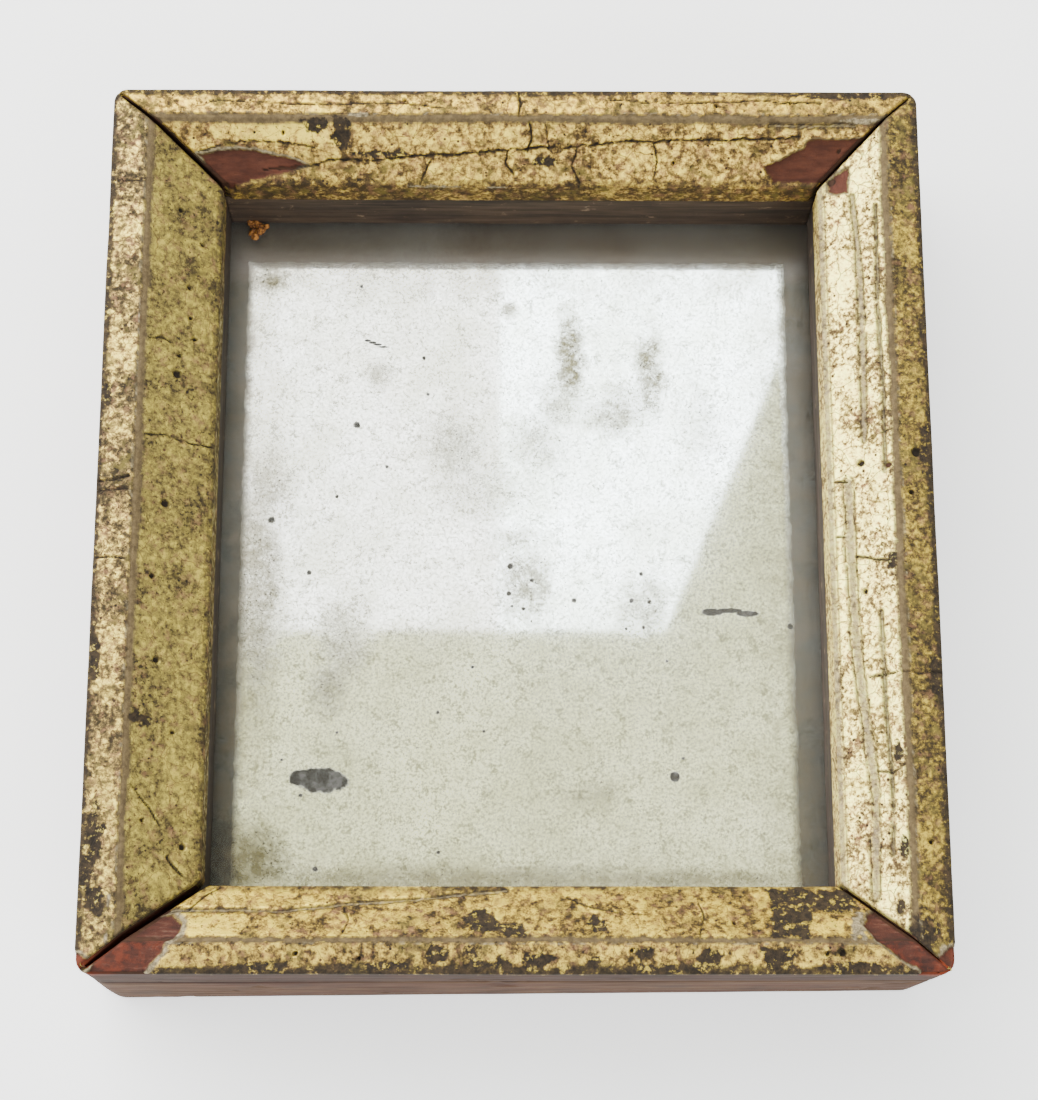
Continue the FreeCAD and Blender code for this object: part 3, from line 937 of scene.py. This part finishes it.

# Leaf tones of each rail, from worn through to thick, on its inner slope and on its outer band. Each rail's
# two sets are painted lighter or darker for how that face meets the light: brightest on the right slope,
# darkest on the left slope and the right band. The brightest tone of each set stands for painted glints
LEAF_SLOPE_PAINTED_LIGHT = {
    "top": ((60, 46, 24), (104, 82, 42), (154, 124, 60), (194, 160, 76), (226, 192, 81), (255, 226, 91)),
    "bottom": ((44, 34, 16), (84, 66, 30), (140, 114, 48), (182, 152, 60), (222, 190, 70), (255, 226, 84)),
    "left": ((58, 48, 27), (100, 87, 47), (128, 112, 58), (152, 136, 68), (174, 155, 74), (210, 188, 84)),
    "right": (
        (76, 60, 36), (142, 120, 70), (216, 192, 108), (246, 226, 130), (254, 241, 134), (255, 249, 144),
    ),
}
LEAF_BAND_PAINTED_LIGHT = {
    "top": ((62, 48, 23), (104, 84, 38), (152, 122, 52), (184, 150, 62), (210, 176, 65), (240, 206, 74)),
    "bottom": ((42, 33, 17), (78, 62, 32), (126, 102, 50), (168, 138, 66), (212, 180, 77), (246, 214, 89)),
    "left": ((48, 40, 23), (76, 63, 38), (104, 87, 50), (144, 120, 67), (192, 164, 81), (240, 216, 105)),
    "right": ((42, 33, 17), (64, 52, 27), (92, 76, 38), (124, 104, 47), (160, 134, 56), (202, 174, 67)),
}
# Bare wood in the chips: dark and light tones of its grain
BARE_WOOD = {
    "top": (tone(60, 31, 22), tone(82, 45, 32)),
    "bottom": (tone(46, 26, 21), tone(76, 40, 30)),
    "left": (tone(60, 32, 24), tone(84, 46, 34)),
    "right": (tone(60, 32, 24), tone(84, 46, 34)),
}
# Size of the leaf's mottle, and the noise level above which it has flaked off in specks
MOTTLE_SIZE = {"top": 1.4, "bottom": 1.5, "left": 1.2, "right": 0.95}
SPECK_LEVEL = {"top": 0.63, "bottom": 0.62, "left": 0.595, "right": 0.63}
# Thickness of the leaf at each of its six tones, the last one standing for painted glints
LEAF_LEVELS = (0.36, 0.43, 0.48, 0.525, 0.575, 0.65)


def leaf_tone(shader, side, level):
    """Gold from worn through to thick, rosy and olive in places, with painted light and shade that differ
    from rail to rail and between slope and band.
    """
    slope_tone = shader.ramp(level, LEAF_LEVELS, [tone(*colour) for colour in LEAF_SLOPE_PAINTED_LIGHT[side]])
    band_tone = shader.ramp(level, LEAF_LEVELS, [tone(*colour) for colour in LEAF_BAND_PAINTED_LIGHT[side]])
    rosy = shader.span(shader.noise(2.2, 4.0, 0.65), 0.52, 0.7, 0.0, 0.3)
    olive = shader.span(shader.noise(3.0, 3.0, 0.6), 0.5, 0.68, 0.0, 0.34)
    on_band = shader.attribute("band")
    return shader.layered(slope_tone, (on_band, band_tone), (rosy, ROSY_GOLD), (olive, OLIVE_GOLD))


def warped(shader, size):
    """Coordinates pushed about by noise, so that lines that follow them wander."""
    node = shader.node("TexNoise")
    shader.feed(node.inputs["Vector"], shader.place)
    node.inputs["Scale"].default_value = 1 / (size * MM)
    node.inputs["Detail"].default_value = 2.0
    push = shader.node("VectorMath")
    push.operation = "MULTIPLY_ADD"
    shader.feed(push.inputs[0], node.outputs["Color"])
    push.inputs[1].default_value = (1.6 * MM, 1.6 * MM, 1.6 * MM)
    shader.feed(push.inputs[2], shader.place)
    return push.outputs[0]


def lost_leaf(shader, side, worn):
    """1 in specks, pinholes and hairline checks, where the leaf has gone."""
    clustered = shader.multiply(shader.subtract(worn, 0.5), -0.25)
    fleck = shader.add(shader.noise(0.62, 2.0, 0.6), clustered)
    specks = shader.span(fleck, SPECK_LEVEL[side], SPECK_LEVEL[side] + 0.07, 0.0, 0.85)
    pinholes = shader.span(shader.cells(1.9), 0.11, 0.17, 1.0, 0.0)
    pinholes = shader.multiply(pinholes, shader.span(shader.noise(2.6, 2.0), 0.52, 0.54))
    checks = shader.cells(3.8, "DISTANCE_TO_EDGE", vector=warped(shader, 2.4))
    hairline = shader.span(checks, 0.0, 0.028, 0.7, 0.0)
    hairline = shader.multiply(hairline, shader.span(shader.noise(7.0, 2.0), 0.48, 0.55))
    return shader.largest(specks, pinholes, hairline)


def chipped_wood(shader, side):
    """Bare wood under red bole, freshly broken and brighter on the outer band."""
    grain = shader.noise(1.6, 4.0, 0.6, shader.along_grain(side, 0.3))
    wood = shader.two_tone(grain, 0.36, 0.64, *BARE_WOOD[side])
    if side == "bottom":
        scuffs = shader.noise(1.6, 5.0, 0.75, shader.along_grain(side, 0.3))
        wood = shader.mix(shader.span(scuffs, 0.57, 0.66, 0.0, 0.14), wood, SCUFFED)
    fresh = shader.span(shader.noise(2.4, 4.0, 0.65), 0.46, 0.62, 0.0, 0.4)
    return shader.mix(shader.multiply(fresh, shader.attribute("band")), wood, BOLE_BRIGHT)


def gold_leaf(side):
    """Worn gold leaf over red bole and pale gesso, driven by the layers stored on the mesh."""
    shader = Shader("gold_leaf_" + side)
    worn = shader.noise(7.0, 4.0, 0.6)
    mottle = shader.noise(MOTTLE_SIZE[side], 5.0, 0.72)
    drift = shader.multiply(shader.subtract(worn, 0.5), 0.5)
    # Grime and the painted shade on the lips darken the leaf
    drift = shader.subtract(drift, shader.multiply(shader.attribute("grime_and_shade"), 0.1))
    level = shader.add(mottle, drift)
    lost = lost_leaf(shader, side, worn)
    speck_tone = shader.two_tone(worn, 0.42, 0.6, GRIME, SPECK_BROWN)
    colour = shader.mix(lost, leaf_tone(shader, side, level), speck_tone)

    layers = ("rub", "stain", "gesso", "bare", "dark")
    rub, stain, gesso, bare, dark = [shader.attribute(name) for name in layers]
    stain_share = shader.multiply(stain, shader.span(mottle, 0.55, 0.64, 1.0, 0.4))
    stained = shader.two_tone(shader.noise(1.1, 5.0, 0.7), 0.4, 0.62, STAIN_DARK, STAIN_PALE)
    rubbed = shader.two_tone(shader.noise(1.3, 4.0, 0.7), 0.38, 0.62, RUBBED_DARK, RUBBED_PALE)
    gesso_tone = shader.two_tone(shader.noise(0.9, 4.0, 0.7), 0.4, 0.62, GESSO_GREY, GESSO_PALE)
    wood = chipped_wood(shader, side)
    under = (rub, rubbed), (stain_share, stained), (gesso, gesso_tone), (bare, wood), (dark, GRIME)

    dull = shader.largest(shader.largest(rub, stain_share), shader.largest(gesso, bare))
    dull = shader.largest(dull, dark, lost)
    bright = shader.multiply(shader.span(level, 0.4, 0.52), shader.subtract(1.0, dull, clamp=True))
    rough = shader.span(bright, 0.0, 1.0, 0.85, 0.4)
    shader.set(
        Base_Color=shader.layered(colour, *under),
        Metallic=shader.multiply(bright, 0.7),
        Roughness=shader.add(rough, shader.span(mottle, 0.3, 0.7, 0.08, -0.06)),
        Specular_IOR_Level=0.25,
    )
    shader.bump(shader.subtract(shader.multiply(level, 0.9), shader.multiply(lost, 0.4)), 0.2, 0.85)
    return shader.material


def old_wood(name, side, light, dark, worn):
    """Stained softwood with grain along a rail, streaks, scuffs and grime."""
    shader = Shader(name)
    vector = shader.along_grain(side, 0.07)
    streaks = shader.noise(1.3, 5.0, 0.65, vector)
    broad = shader.noise(5.0, 3.0, 0.5, vector)
    scuffs = shader.noise(3.2, 6.0, 0.75)
    colour = shader.layered(
        shader.two_tone(streaks, 0.36, 0.64, dark, light),
        (shader.span(broad, 0.45, 0.66, 0.0, 0.6), worn),
        (shader.span(scuffs, 0.6, 0.68, 0.0, 0.55), WOOD_SCUFFED),
        (shader.span(shader.noise(12.0, 3.0), 0.5, 0.68, 0.0, 0.5), WOOD_DARK),
    )
    shader.set(Base_Color=colour, Roughness=shader.span(streaks, 0.3, 0.7, 0.82, 0.62))
    shader.bump(shader.add(streaks, shader.multiply(scuffs, 0.4)), 0.16, 0.7)
    return shader.material


def bole_wood(side):
    """The rails' bare wood under a wash of dark bole: darker near the front, rubbed and dusty lower down."""
    shader = Shader("bole_wood_" + side)
    vector = shader.along_grain(side, 0.07)
    streaks = shader.noise(1.1, 5.0, 0.65, vector)
    broad = shader.noise(4.0, 3.0, 0.5, vector)
    scuffs = shader.noise(2.6, 6.0, 0.75, vector)
    patches = shader.noise(5.0, 4.0, 0.65)
    dusty = shader.two_tone(streaks, 0.36, 0.62, tone(56, 35, 21), tone(88, 61, 38))
    dusty = shader.mix(shader.span(broad, 0.5, 0.66, 0.0, 0.7), dusty, tone(74, 42, 30))
    height = shader.add(shader.split_place()["Z"], shader.span(broad, 0.3, 0.7, -3 * MM, 3 * MM))
    lower = shader.span(height, (JOIN_Z - 2) * MM, (JOIN_Z + 3) * MM, 1.0, 0.0)
    freshly = shader.two_tone(patches, 0.4, 0.6, BOLE_BRIGHT, tone(78, 36, 24))
    colour = shader.layered(
        shader.two_tone(patches, 0.36, 0.64, tone(40, 27, 20), tone(60, 38, 28)),
        (shader.span(streaks, 0.42, 0.62, 0.0, 0.5), tone(72, 47, 33)),
        (lower, dusty),
        (shader.span(scuffs, 0.6, 0.68, 0.0, 0.3), tone(128, 108, 84)),
        (shader.span(shader.noise(12.0, 3.0), 0.5, 0.68, 0.0, 0.45), WOOD_DARK),
        (shader.multiply(shader.attribute("groove"), 0.8), tone(26, 18, 14)),
        (shader.multiply(shader.attribute("tip"), 0.85), freshly),
    )
    shader.set(
        Base_Color=colour,
        Roughness=shader.span(streaks, 0.3, 0.7, 0.85, 0.65),
        Specular_IOR_Level=0.12,
    )
    shader.bump(shader.add(streaks, shader.multiply(scuffs, 0.4)), 0.14, 0.6)
    return shader.material


def old_glass():
    """Clear glass that mostly lets the silvering show, with a light film of dust and specks of dirt."""
    shader = Shader("old_glass")
    film = shader.noise(22.0, 4.0, 0.6)
    dust = shader.noise(0.6, 3.0, 0.7)
    film_cover = shader.span(film, 0.35, 0.7, 0.02, 0.07)
    shader.set(
        Base_Color=shader.two_tone(dust, 0.6, 0.7, tone(222, 226, 220), tone(140, 132, 112)),
        Roughness=shader.span(film, 0.35, 0.7, 0.1, 0.3),
        Alpha=shader.add(film_cover, shader.span(dust, 0.6, 0.72, 0.0, 0.16)),
    )
    return shader.material


# Marks in the silvering: places on the glass, half sizes, in the row frame
DARK_SPOTS = [
    (-36.1, -44.5, 5.3, 2.5), (-39.9, -44.0, 2.6, 1.6), (37.8, -11.9, 2.3, 0.75),
    (41.1, -11.6, 2.6, 0.5), (44.6, -12.2, 2.2, 0.65), (30.2, -43.7, 1.0, 1.1), (-28.9, 42.9, 0.7, 0.3),
    (-28.0, 42.5, 0.8, 0.3), (-27.0, 42.1, 0.9, 0.26), (-25.8, 41.6, 1.1, 0.2),
]
# Small dark dots in the silvering: places on the glass and radii
DARK_DOTS = [
    (-0.8, -2.9, 0.62), (3.3, -5.7, 0.42), (-1.1, -8.3, 0.5), (1.7, -11.3, 0.36), (-0.5, -10.8, 0.3),
    (24.3, -4.4, 0.42), (22.4, -9.7, 0.44), (25.8, -9.9, 0.42), (24.6, -14.9, 0.34),
    (21.3, -15.2, 0.28), (11.4, -9.6, 0.5), (29.0, -21.5, 0.3), (31.8, -40.2, 0.34),
    (-37.1, -61.1, 0.5), (-14.2, -58.0, 0.4), (-5.8, -35.1, 0.34), (-14.5, -31.5, 0.36),
    (-8.0, -22.7, 0.34), (-33.5, -35.4, 0.3), (-39.4, -4.3, 0.5), (-30.3, 54.2, 0.36),
    (-17.8, 39.3, 0.42), (-16.9, 31.8, 0.36), (-30.8, 25.5, 0.7), (-24.8, 17.0, 0.4),
    (-34.4, 10.9, 0.36), (-46.9, 6.2, 0.7), (52.7, -14.7, 0.6), (-43.8, -40.6, 0.3),
    (-40.1, -47.3, 0.4),
]
# Foxing in the silvering: places on the glass, half sizes and strength
FOX_CLOUDS = [
    (2.1, -6.8, 5.5, 7.0, 0.72), (1.1, 2.4, 6.0, 3.0, 0.43), (-32.6, -18.0, 5.0, 10.0, 0.58),
    (-35.1, -27.2, 3.6, 5.0, 0.72), (-49.5, -7.8, 5.5, 26.0, 0.72), (-47.4, 12.6, 5.0, 9.0, 0.58),
    (-26.5, 36.1, 3.0, 3.0, 0.58), (-12.2, 20.8, 6.0, 7.0, 0.58), (4.0, 21.8, 5.5, 6.0, 0.51),
    (10.9, 39.2, 3.0, 10.5, 1), (9.0, 31.0, 5.5, 6.0, 0.58), (-1.1, 49.3, 2.0, 2.0, 0.72),
    (26.5, 37.0, 3.2, 9.0, 1), (20.0, 28.0, 6.5, 5.0, 0.72), (14.4, -47.4, 6.0, 3.0, 0.43),
    (24.6, -9.8, 5.0, 6.0, 0.51), (-49.9, -59.8, 8.0, 6.5, 1), (-10.1, -62.9, 40.0, 2.6, 0.72),
    (-48.4, 56.0, 4.0, 3.5, 1), (30.7, -62.9, 26.0, 1.8, 0.72), (36.0, 26.0, 5.0, 10.0, 0.36),
    (-6.0, 12.0, 9.0, 6.0, 0.43),
]


def oval(shader, centre_x, centre_y, half_x, half_y, ragged, amount):
    """1 at the middle of an oval on the glass, falling to 0 at its ragged edge."""
    node = shader.node("Mapping")
    shader.feed(node.inputs["Vector"], shader.place)
    node.inputs["Scale"].default_value = (1 / (half_x * MM), 1 / (half_y * MM), 0.0)
    node.inputs["Location"].default_value = (-centre_x / half_x, -centre_y / half_y, 0.0)
    length = shader.node("VectorMath")
    length.operation = "LENGTH"
    shader.feed(length.inputs[0], node.outputs["Vector"])
    reach = shader.add(length.outputs["Value"], shader.multiply(ragged, amount))
    return shader.subtract(1.0 + amount * 0.5, reach)


# How far in from each rail the mirror shows only the dark inside of the frame, painted into the silvering as
# a dark reflection
REFLECTED_RAIL = {"left": 4.4, "right": 5.6, "bottom": 2.4, "top": 8.5}


def frame_shade_band(shader, further, softness, roughly):
    """1 along the edge of the glass that shows, falling to 0 over the softness some way in from each rail,
    where painted shade and a painted reflection of the frame go.
    """
    place = shader.split_place()
    edges = {
        "left": (place["X"], -HALF_W + WIDTHS["left"], 1.0),
        "right": (place["X"], HALF_W - WIDTHS["right"], -1.0),
        "bottom": (place["Y"], -HALF_H + WIDTHS["bottom"], 1.0),
        "top": (place["Y"], HALF_H - WIDTHS["top"], -1.0),
    }
    wander = shader.span(shader.noise(4.0, 5.0, 0.7), 0.3, 0.7, -roughly * MM, roughly * MM)
    near = []
    for side, (axis, edge, sign) in edges.items():
        away = shader.add(shader.multiply(shader.subtract(axis, edge * MM), sign), wander)
        limit = REFLECTED_RAIL[side] + further
        near.append(shader.span(away, (limit - softness) * MM, limit * MM, 1.0, 0.0))
    return shader.largest(*near)


def foxing(shader, blotchy):
    """From 0 to 1, how far the silvering has clouded over."""
    clouds = []
    for x, y, half_x, half_y, strength in FOX_CLOUDS:
        cloud = oval(shader, x, y, half_x, half_y, blotchy, 2.0)
        clouds.append(shader.span(cloud, -0.3, 0.6, 0.0, strength))
    return shader.largest(*clouds)


def bare_spots(shader, ragged, fine):
    """1 where the silvering has gone altogether."""
    spots = []
    for x, y, half_x, half_y in DARK_SPOTS:
        spots.append(shader.span(oval(shader, x, y, half_x, half_y, ragged, 0.9), 0.0, 0.15))
    for x, y, radius in DARK_DOTS:
        spots.append(shader.span(oval(shader, x, y, radius, radius, fine, 1.3), -0.1, 0.3))
    return shader.largest(*spots)


def foxed_silver():
    """Old silvering: a bright mirror gone hazy, with foxing clouds, specks and bare spots, and painted shade
    and a painted reflection of the frame round its edges.
    """
    shader = Shader("foxed_silver")
    ragged = shader.noise(1.8, 5.0, 0.7)
    fine = shader.noise(0.5, 3.0, 0.7)
    blotchy = shader.noise(5.0, 5.0, 0.7)
    haze = shader.noise(14.0, 6.0, 0.7)
    clouds = foxing(shader, blotchy)
    spots = bare_spots(shader, ragged, fine)
    specks = shader.span(shader.subtract(fine, shader.span(clouds, 0.0, 1.0, 0.65, 0.575)), 0.0, 0.04)
    tarnish = shader.multiply(clouds, shader.span(ragged, 0.3, 0.56, 0.4, 1.0))

    grain = shader.span(shader.noise(0.6, 3.0, 0.8), 0.42, 0.62, 0.0, 0.72)
    flecks = shader.span(shader.noise(2.4, 6.0, 0.8), 0.52, 0.64, 0.0, 0.65)
    # Dust mixed with painted shade of the recess, darkest near the rails
    dust = shader.multiply(frame_shade_band(shader, 8.0, 9.0, 3.0), shader.span(blotchy, 0.36, 0.6, 0.1, 0.62))
    # The band by the rails is a painted reflection of the frame's dark inside, paler along the top
    border = frame_shade_band(shader, 0.4, 2.0, 0.35)
    reflected_frame_tone = shader.two_tone(blotchy, 0.4, 0.62, tone(40, 33, 26), tone(70, 60, 48))
    reflected_frame_tone = shader.mix(shader.span(shader.split_place()["Y"], 54 * MM, 62 * MM), reflected_frame_tone, tone(112, 99, 90))
    colour = shader.layered(
        shader.two_tone(haze, 0.38, 0.62, tone(255, 255, 244), tone(226, 226, 206)),
        (grain, tone(160, 159, 142)),
        (flecks, tone(120, 118, 98)),
        (tarnish, tone(92, 84, 52)),
        (shader.multiply(specks, 0.9), tone(70, 62, 46)),
        (dust, tone(136, 128, 106)),
        (shader.multiply(border, 0.92), reflected_frame_tone),
        (spots, shader.two_tone(ragged, 0.46, 0.6, tone(44, 40, 34), tone(92, 90, 88))),
    )

    gone = shader.largest(spots, shader.multiply(specks, 0.85))
    rough = shader.span(shader.largest(gone, shader.multiply(tarnish, 0.35)), 0.0, 1.0, 0.035, 0.5)
    hidden = shader.largest(
        gone,
        shader.multiply(tarnish, 0.3),
        shader.multiply(border, 0.15),
        shader.span(haze, 0.35, 0.7, 0.02, 0.12),
    )
    shader.set(
        Base_Color=colour,
        Metallic=shader.subtract(1.0, hidden, clamp=True),
        Roughness=shader.largest(rough, shader.multiply(border, 0.3)),
        Specular_IOR_Level=shader.add(shader.multiply(gone, -0.45), 0.5),
    )
    return shader.material


def aged_brass():
    """Dull yellow brass with brown tarnish."""
    shader = Shader("aged_brass")
    tarnish = shader.noise(1.6, 5.0, 0.65)
    shader.set(
        Base_Color=shader.two_tone(tarnish, 0.4, 0.66, tone(178, 142, 82), tone(96, 72, 44)),
        Metallic=shader.span(tarnish, 0.4, 0.7, 0.95, 0.55),
        Roughness=shader.span(tarnish, 0.35, 0.7, 0.3, 0.6),
    )
    shader.bump(shader.noise(0.4, 3.0), 0.03, 0.6)
    return shader.material


def rusted_iron():
    """Brown rusted iron."""
    shader = Shader("rusted_iron")
    rust = shader.noise(0.8, 5.0, 0.7)
    shader.set(
        Base_Color=shader.two_tone(rust, 0.38, 0.62, tone(58, 48, 42), tone(120, 70, 42)),
        Metallic=shader.span(rust, 0.4, 0.6, 0.7, 0.1),
        Roughness=0.62,
    )
    shader.bump(rust, 0.08, 0.8)
    return shader.material


def brown_paper():
    """Old brown paper behind the silvering."""
    shader = Shader("brown_paper")
    fibre = shader.noise(0.8, 5.0, 0.7)
    shader.set(
        Base_Color=shader.two_tone(fibre, 0.38, 0.64, tone(112, 88, 60), tone(146, 118, 84)),
        Roughness=0.9,
    )
    shader.bump(fibre, 0.05, 0.6)
    return shader.material


def dirt(name):
    """Rough orange-brown dirt."""
    shader = Shader(name)
    lumps = shader.noise(0.7, 4.0, 0.7)
    shader.set(
        Base_Color=shader.two_tone(lumps, 0.4, 0.6, tone(82, 44, 18), tone(178, 118, 52)),
        Roughness=0.8,
    )
    shader.bump(lumps, 0.2, 0.8)
    return shader.material


# ---------------------------------------------------------------- pieces

# How far the sharp edges of the fillets and of the backboard are rounded, and how near two points are one
FILLET_EDGE, BOARD_EDGE = 0.5, 0.3
SAME_PLACE = 0.001


def dress(node, material, edge=0.0):
    """Gives a CAD node that stays in view its finish, with its sharp edges rounded a little."""
    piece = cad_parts[node]
    if edge:
        piece.modifiers.new("joined_corners", "WELD").merge_threshold = SAME_PLACE * MM
        rounding = piece.modifiers.new("worn_edges", "BEVEL")
        rounding.width = edge * MM
        rounding.segments = 3
        rounding.limit_method = "ANGLE"
        rounding.harden_normals = False
    piece.data.materials.clear()
    piece.data.materials.append(material)


def make_rails():
    """The wood and the gilding of all four rails."""
    for side in SIDES:
        core = rail_core(side, bole_wood(side))
        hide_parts("rail_" + side)
        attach(core, "frame")
        skin = gilded_skin(side, gold_leaf(side))
        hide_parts("gilding_" + side)
        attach(skin, "frame")


def dress_fillets():
    """The four dark strips of wood between the glass and the gilding, the top one paler."""
    for side in SIDES:
        paler = 1.3 if side == "top" else 1.0
        tones = [tone(*(paler * channel for channel in colour)) for colour in FILLET_TONES]
        dress("spacer_" + side, old_wood("fillet_" + side, side, *tones), FILLET_EDGE)


def dress_inside():
    """The mirror, its paper and the board behind it."""
    dress("mirror_glass", old_glass())
    dress("silvering", foxed_silver())
    dress("backing_paper", brown_paper())
    board = old_wood("board_wood", "left", tone(168, 132, 92), tone(122, 88, 58), tone(140, 104, 70))
    dress("backboard", board, BOARD_EDGE)


def dress_metal():
    """Nails, brads and the hanger."""
    dress("mitre_nails", rusted_iron())
    dress("backboard_brads", rusted_iron())
    brass = aged_brass()
    for node in ("hanger_plate", "hanger_screws", "hanger_ring"):
        dress(node, brass)


# Where the crumb lies on the glass, and how many lumps it is made of
CRUMB_PLACE = (-51.5, 65.6, GLASS_TOP)
CRUMB_LUMPS = 26


def crumb():
    """A rough crumb of dirt stuck to the glass by the upper left corner."""
    mesh = bpy.data.meshes.new("dirt_crumb")
    body = bmesh.new()
    random = np.random.default_rng(5)
    for _ in range(CRUMB_LUMPS):
        place = Vector((random.normal(0, 0.95), random.normal(0, 0.85), random.uniform(0.1, 0.8))) * MM
        size = random.uniform(0.3, 0.75) * MM
        made = bmesh.ops.create_icosphere(body, subdivisions=2, radius=size)
        for vertex in made["verts"]:
            vertex.co = vertex.co * (1 + random.uniform(-0.3, 0.3)) + place
    body.to_mesh(mesh)
    body.free()
    for vertex in mesh.vertices:
        vertex.co.z = max(vertex.co.z, 0.02 * MM)
    mesh.materials.append(dirt("crumb"))
    piece = bpy.data.objects.new("dirt_crumb", mesh)
    piece.location = Vector(CRUMB_PLACE) * MM
    bpy.context.scene.collection.objects.link(piece)
    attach(piece, "frame")


make_rails()
dress_fillets()
dress_inside()
dress_metal()
crumb()

# ---------------------------------------------------------------- floor and light

# Half the floor's size and how far it lies below the back plane, in metres
FLOOR_HALF = 4.0
FLOOR_DROP = 0.0002


def flat_piece(name, outline, height, material):
    """A flat piece of the studio, from its outline and height in metres."""
    mesh = bpy.data.meshes.new(name)
    mesh.from_pydata([(x, y, height) for x, y in outline], [], [tuple(range(len(outline)))])
    mesh.materials.append(material)
    piece = bpy.data.objects.new(name, mesh)
    bpy.context.scene.collection.objects.link(piece)
    return piece


def pale_floor():
    """A plain pale floor with a very light grain, seen through from underneath."""
    shader = Shader("pale_floor")
    above = shader.subtract(1.0, shader.node("NewGeometry").outputs["Backfacing"])
    shader.set(
        Base_Color=shader.mix(shader.noise(30.0, 4.0), tone(240, 240, 242), tone(248, 248, 250)),
        Roughness=0.85,
        Alpha=above,
        Emission_Color=(1.0, 1.0, 1.0),
        Emission_Strength=0.85,
    )
    far = FLOOR_HALF
    floor = flat_piece("floor", [(-far, -far), (far, -far), (far, far), (-far, far)], 0, shader.material)
    floor.location = (0, 0, -FLOOR_DROP)


def white_card(name, outline, height, colour, strength):
    """A glowing white card high above the frame, whose edges show in the mirror."""
    shader = Shader(name)
    shader.set(
        Base_Color=tone(90, 90, 90),
        Roughness=0.9,
        Emission_Color=colour,
        Emission_Strength=strength,
    )
    flat_piece(name, [(x * MM, y * MM) for x, y in outline], height, shader.material)


# Heights of the cards above the floor, in metres: the two small ones, and the large one behind them
CARD_HEIGHT, BEHIND_HEIGHT = 1.2, 1.26


def reflectors():
    """Two white cards side by side, the left one dimmer, in front of a large dim warm one."""
    outline = [(-260, 257), (0, 257), (0, 560), (-260, 560)]
    white_card("card_left", outline, CARD_HEIGHT, tone(246, 249, 255), 5.6)
    outline = [(0, 257), (115, 257), (156, 352), (206, 469), (240, 560), (0, 560)]
    white_card("card_right", outline, CARD_HEIGHT, tone(228, 241, 255), 11.0)
    outline = [(-500, -150), (500, -150), (500, 800), (-500, 800)]
    white_card("card_behind", outline, BEHIND_HEIGHT, tone(250, 252, 196), 1.72)


def area_light(name, place, target, size, power, colour):
    """A soft rectangular light that points at a target."""
    data = bpy.data.lights.new(name, "AREA")
    data.shape = "RECTANGLE"
    data.size, data.size_y = size
    data.energy = power
    data.color = colour
    light = bpy.data.objects.new(name, data)
    light.location = place
    light.visible_camera = False
    light.rotation_euler = (Vector(target) - Vector(place)).to_track_quat("-Z", "Y").to_euler()
    bpy.context.scene.collection.objects.link(light)


def studio():
    """A bright even room, a large soft light from the left and a weaker one from the right."""
    world = bpy.data.worlds.new("room")
    world.use_nodes = True
    background = world.node_tree.nodes["Background"]
    background.inputs["Color"].default_value = (0.93, 0.96, 0.95, 1.0)
    background.inputs["Strength"].default_value = 1.25
    bpy.context.scene.world = world
    area_light("window", (-0.92, 0.26, 0.4), (0, 0, 0.02), (0.9, 0.6), 22, (1.0, 0.98, 0.95))
    area_light("skylight", (-0.45, 0.95, 1.0), (0, 0, 0.02), (0.9, 0.9), 26, (1.0, 0.98, 0.96))
    area_light("fill", (0.5, -0.9, 0.8), (0, 0, 0.02), (0.8, 0.8), 9, (0.96, 0.98, 1.0))


pale_floor()
reflectors()
studio()
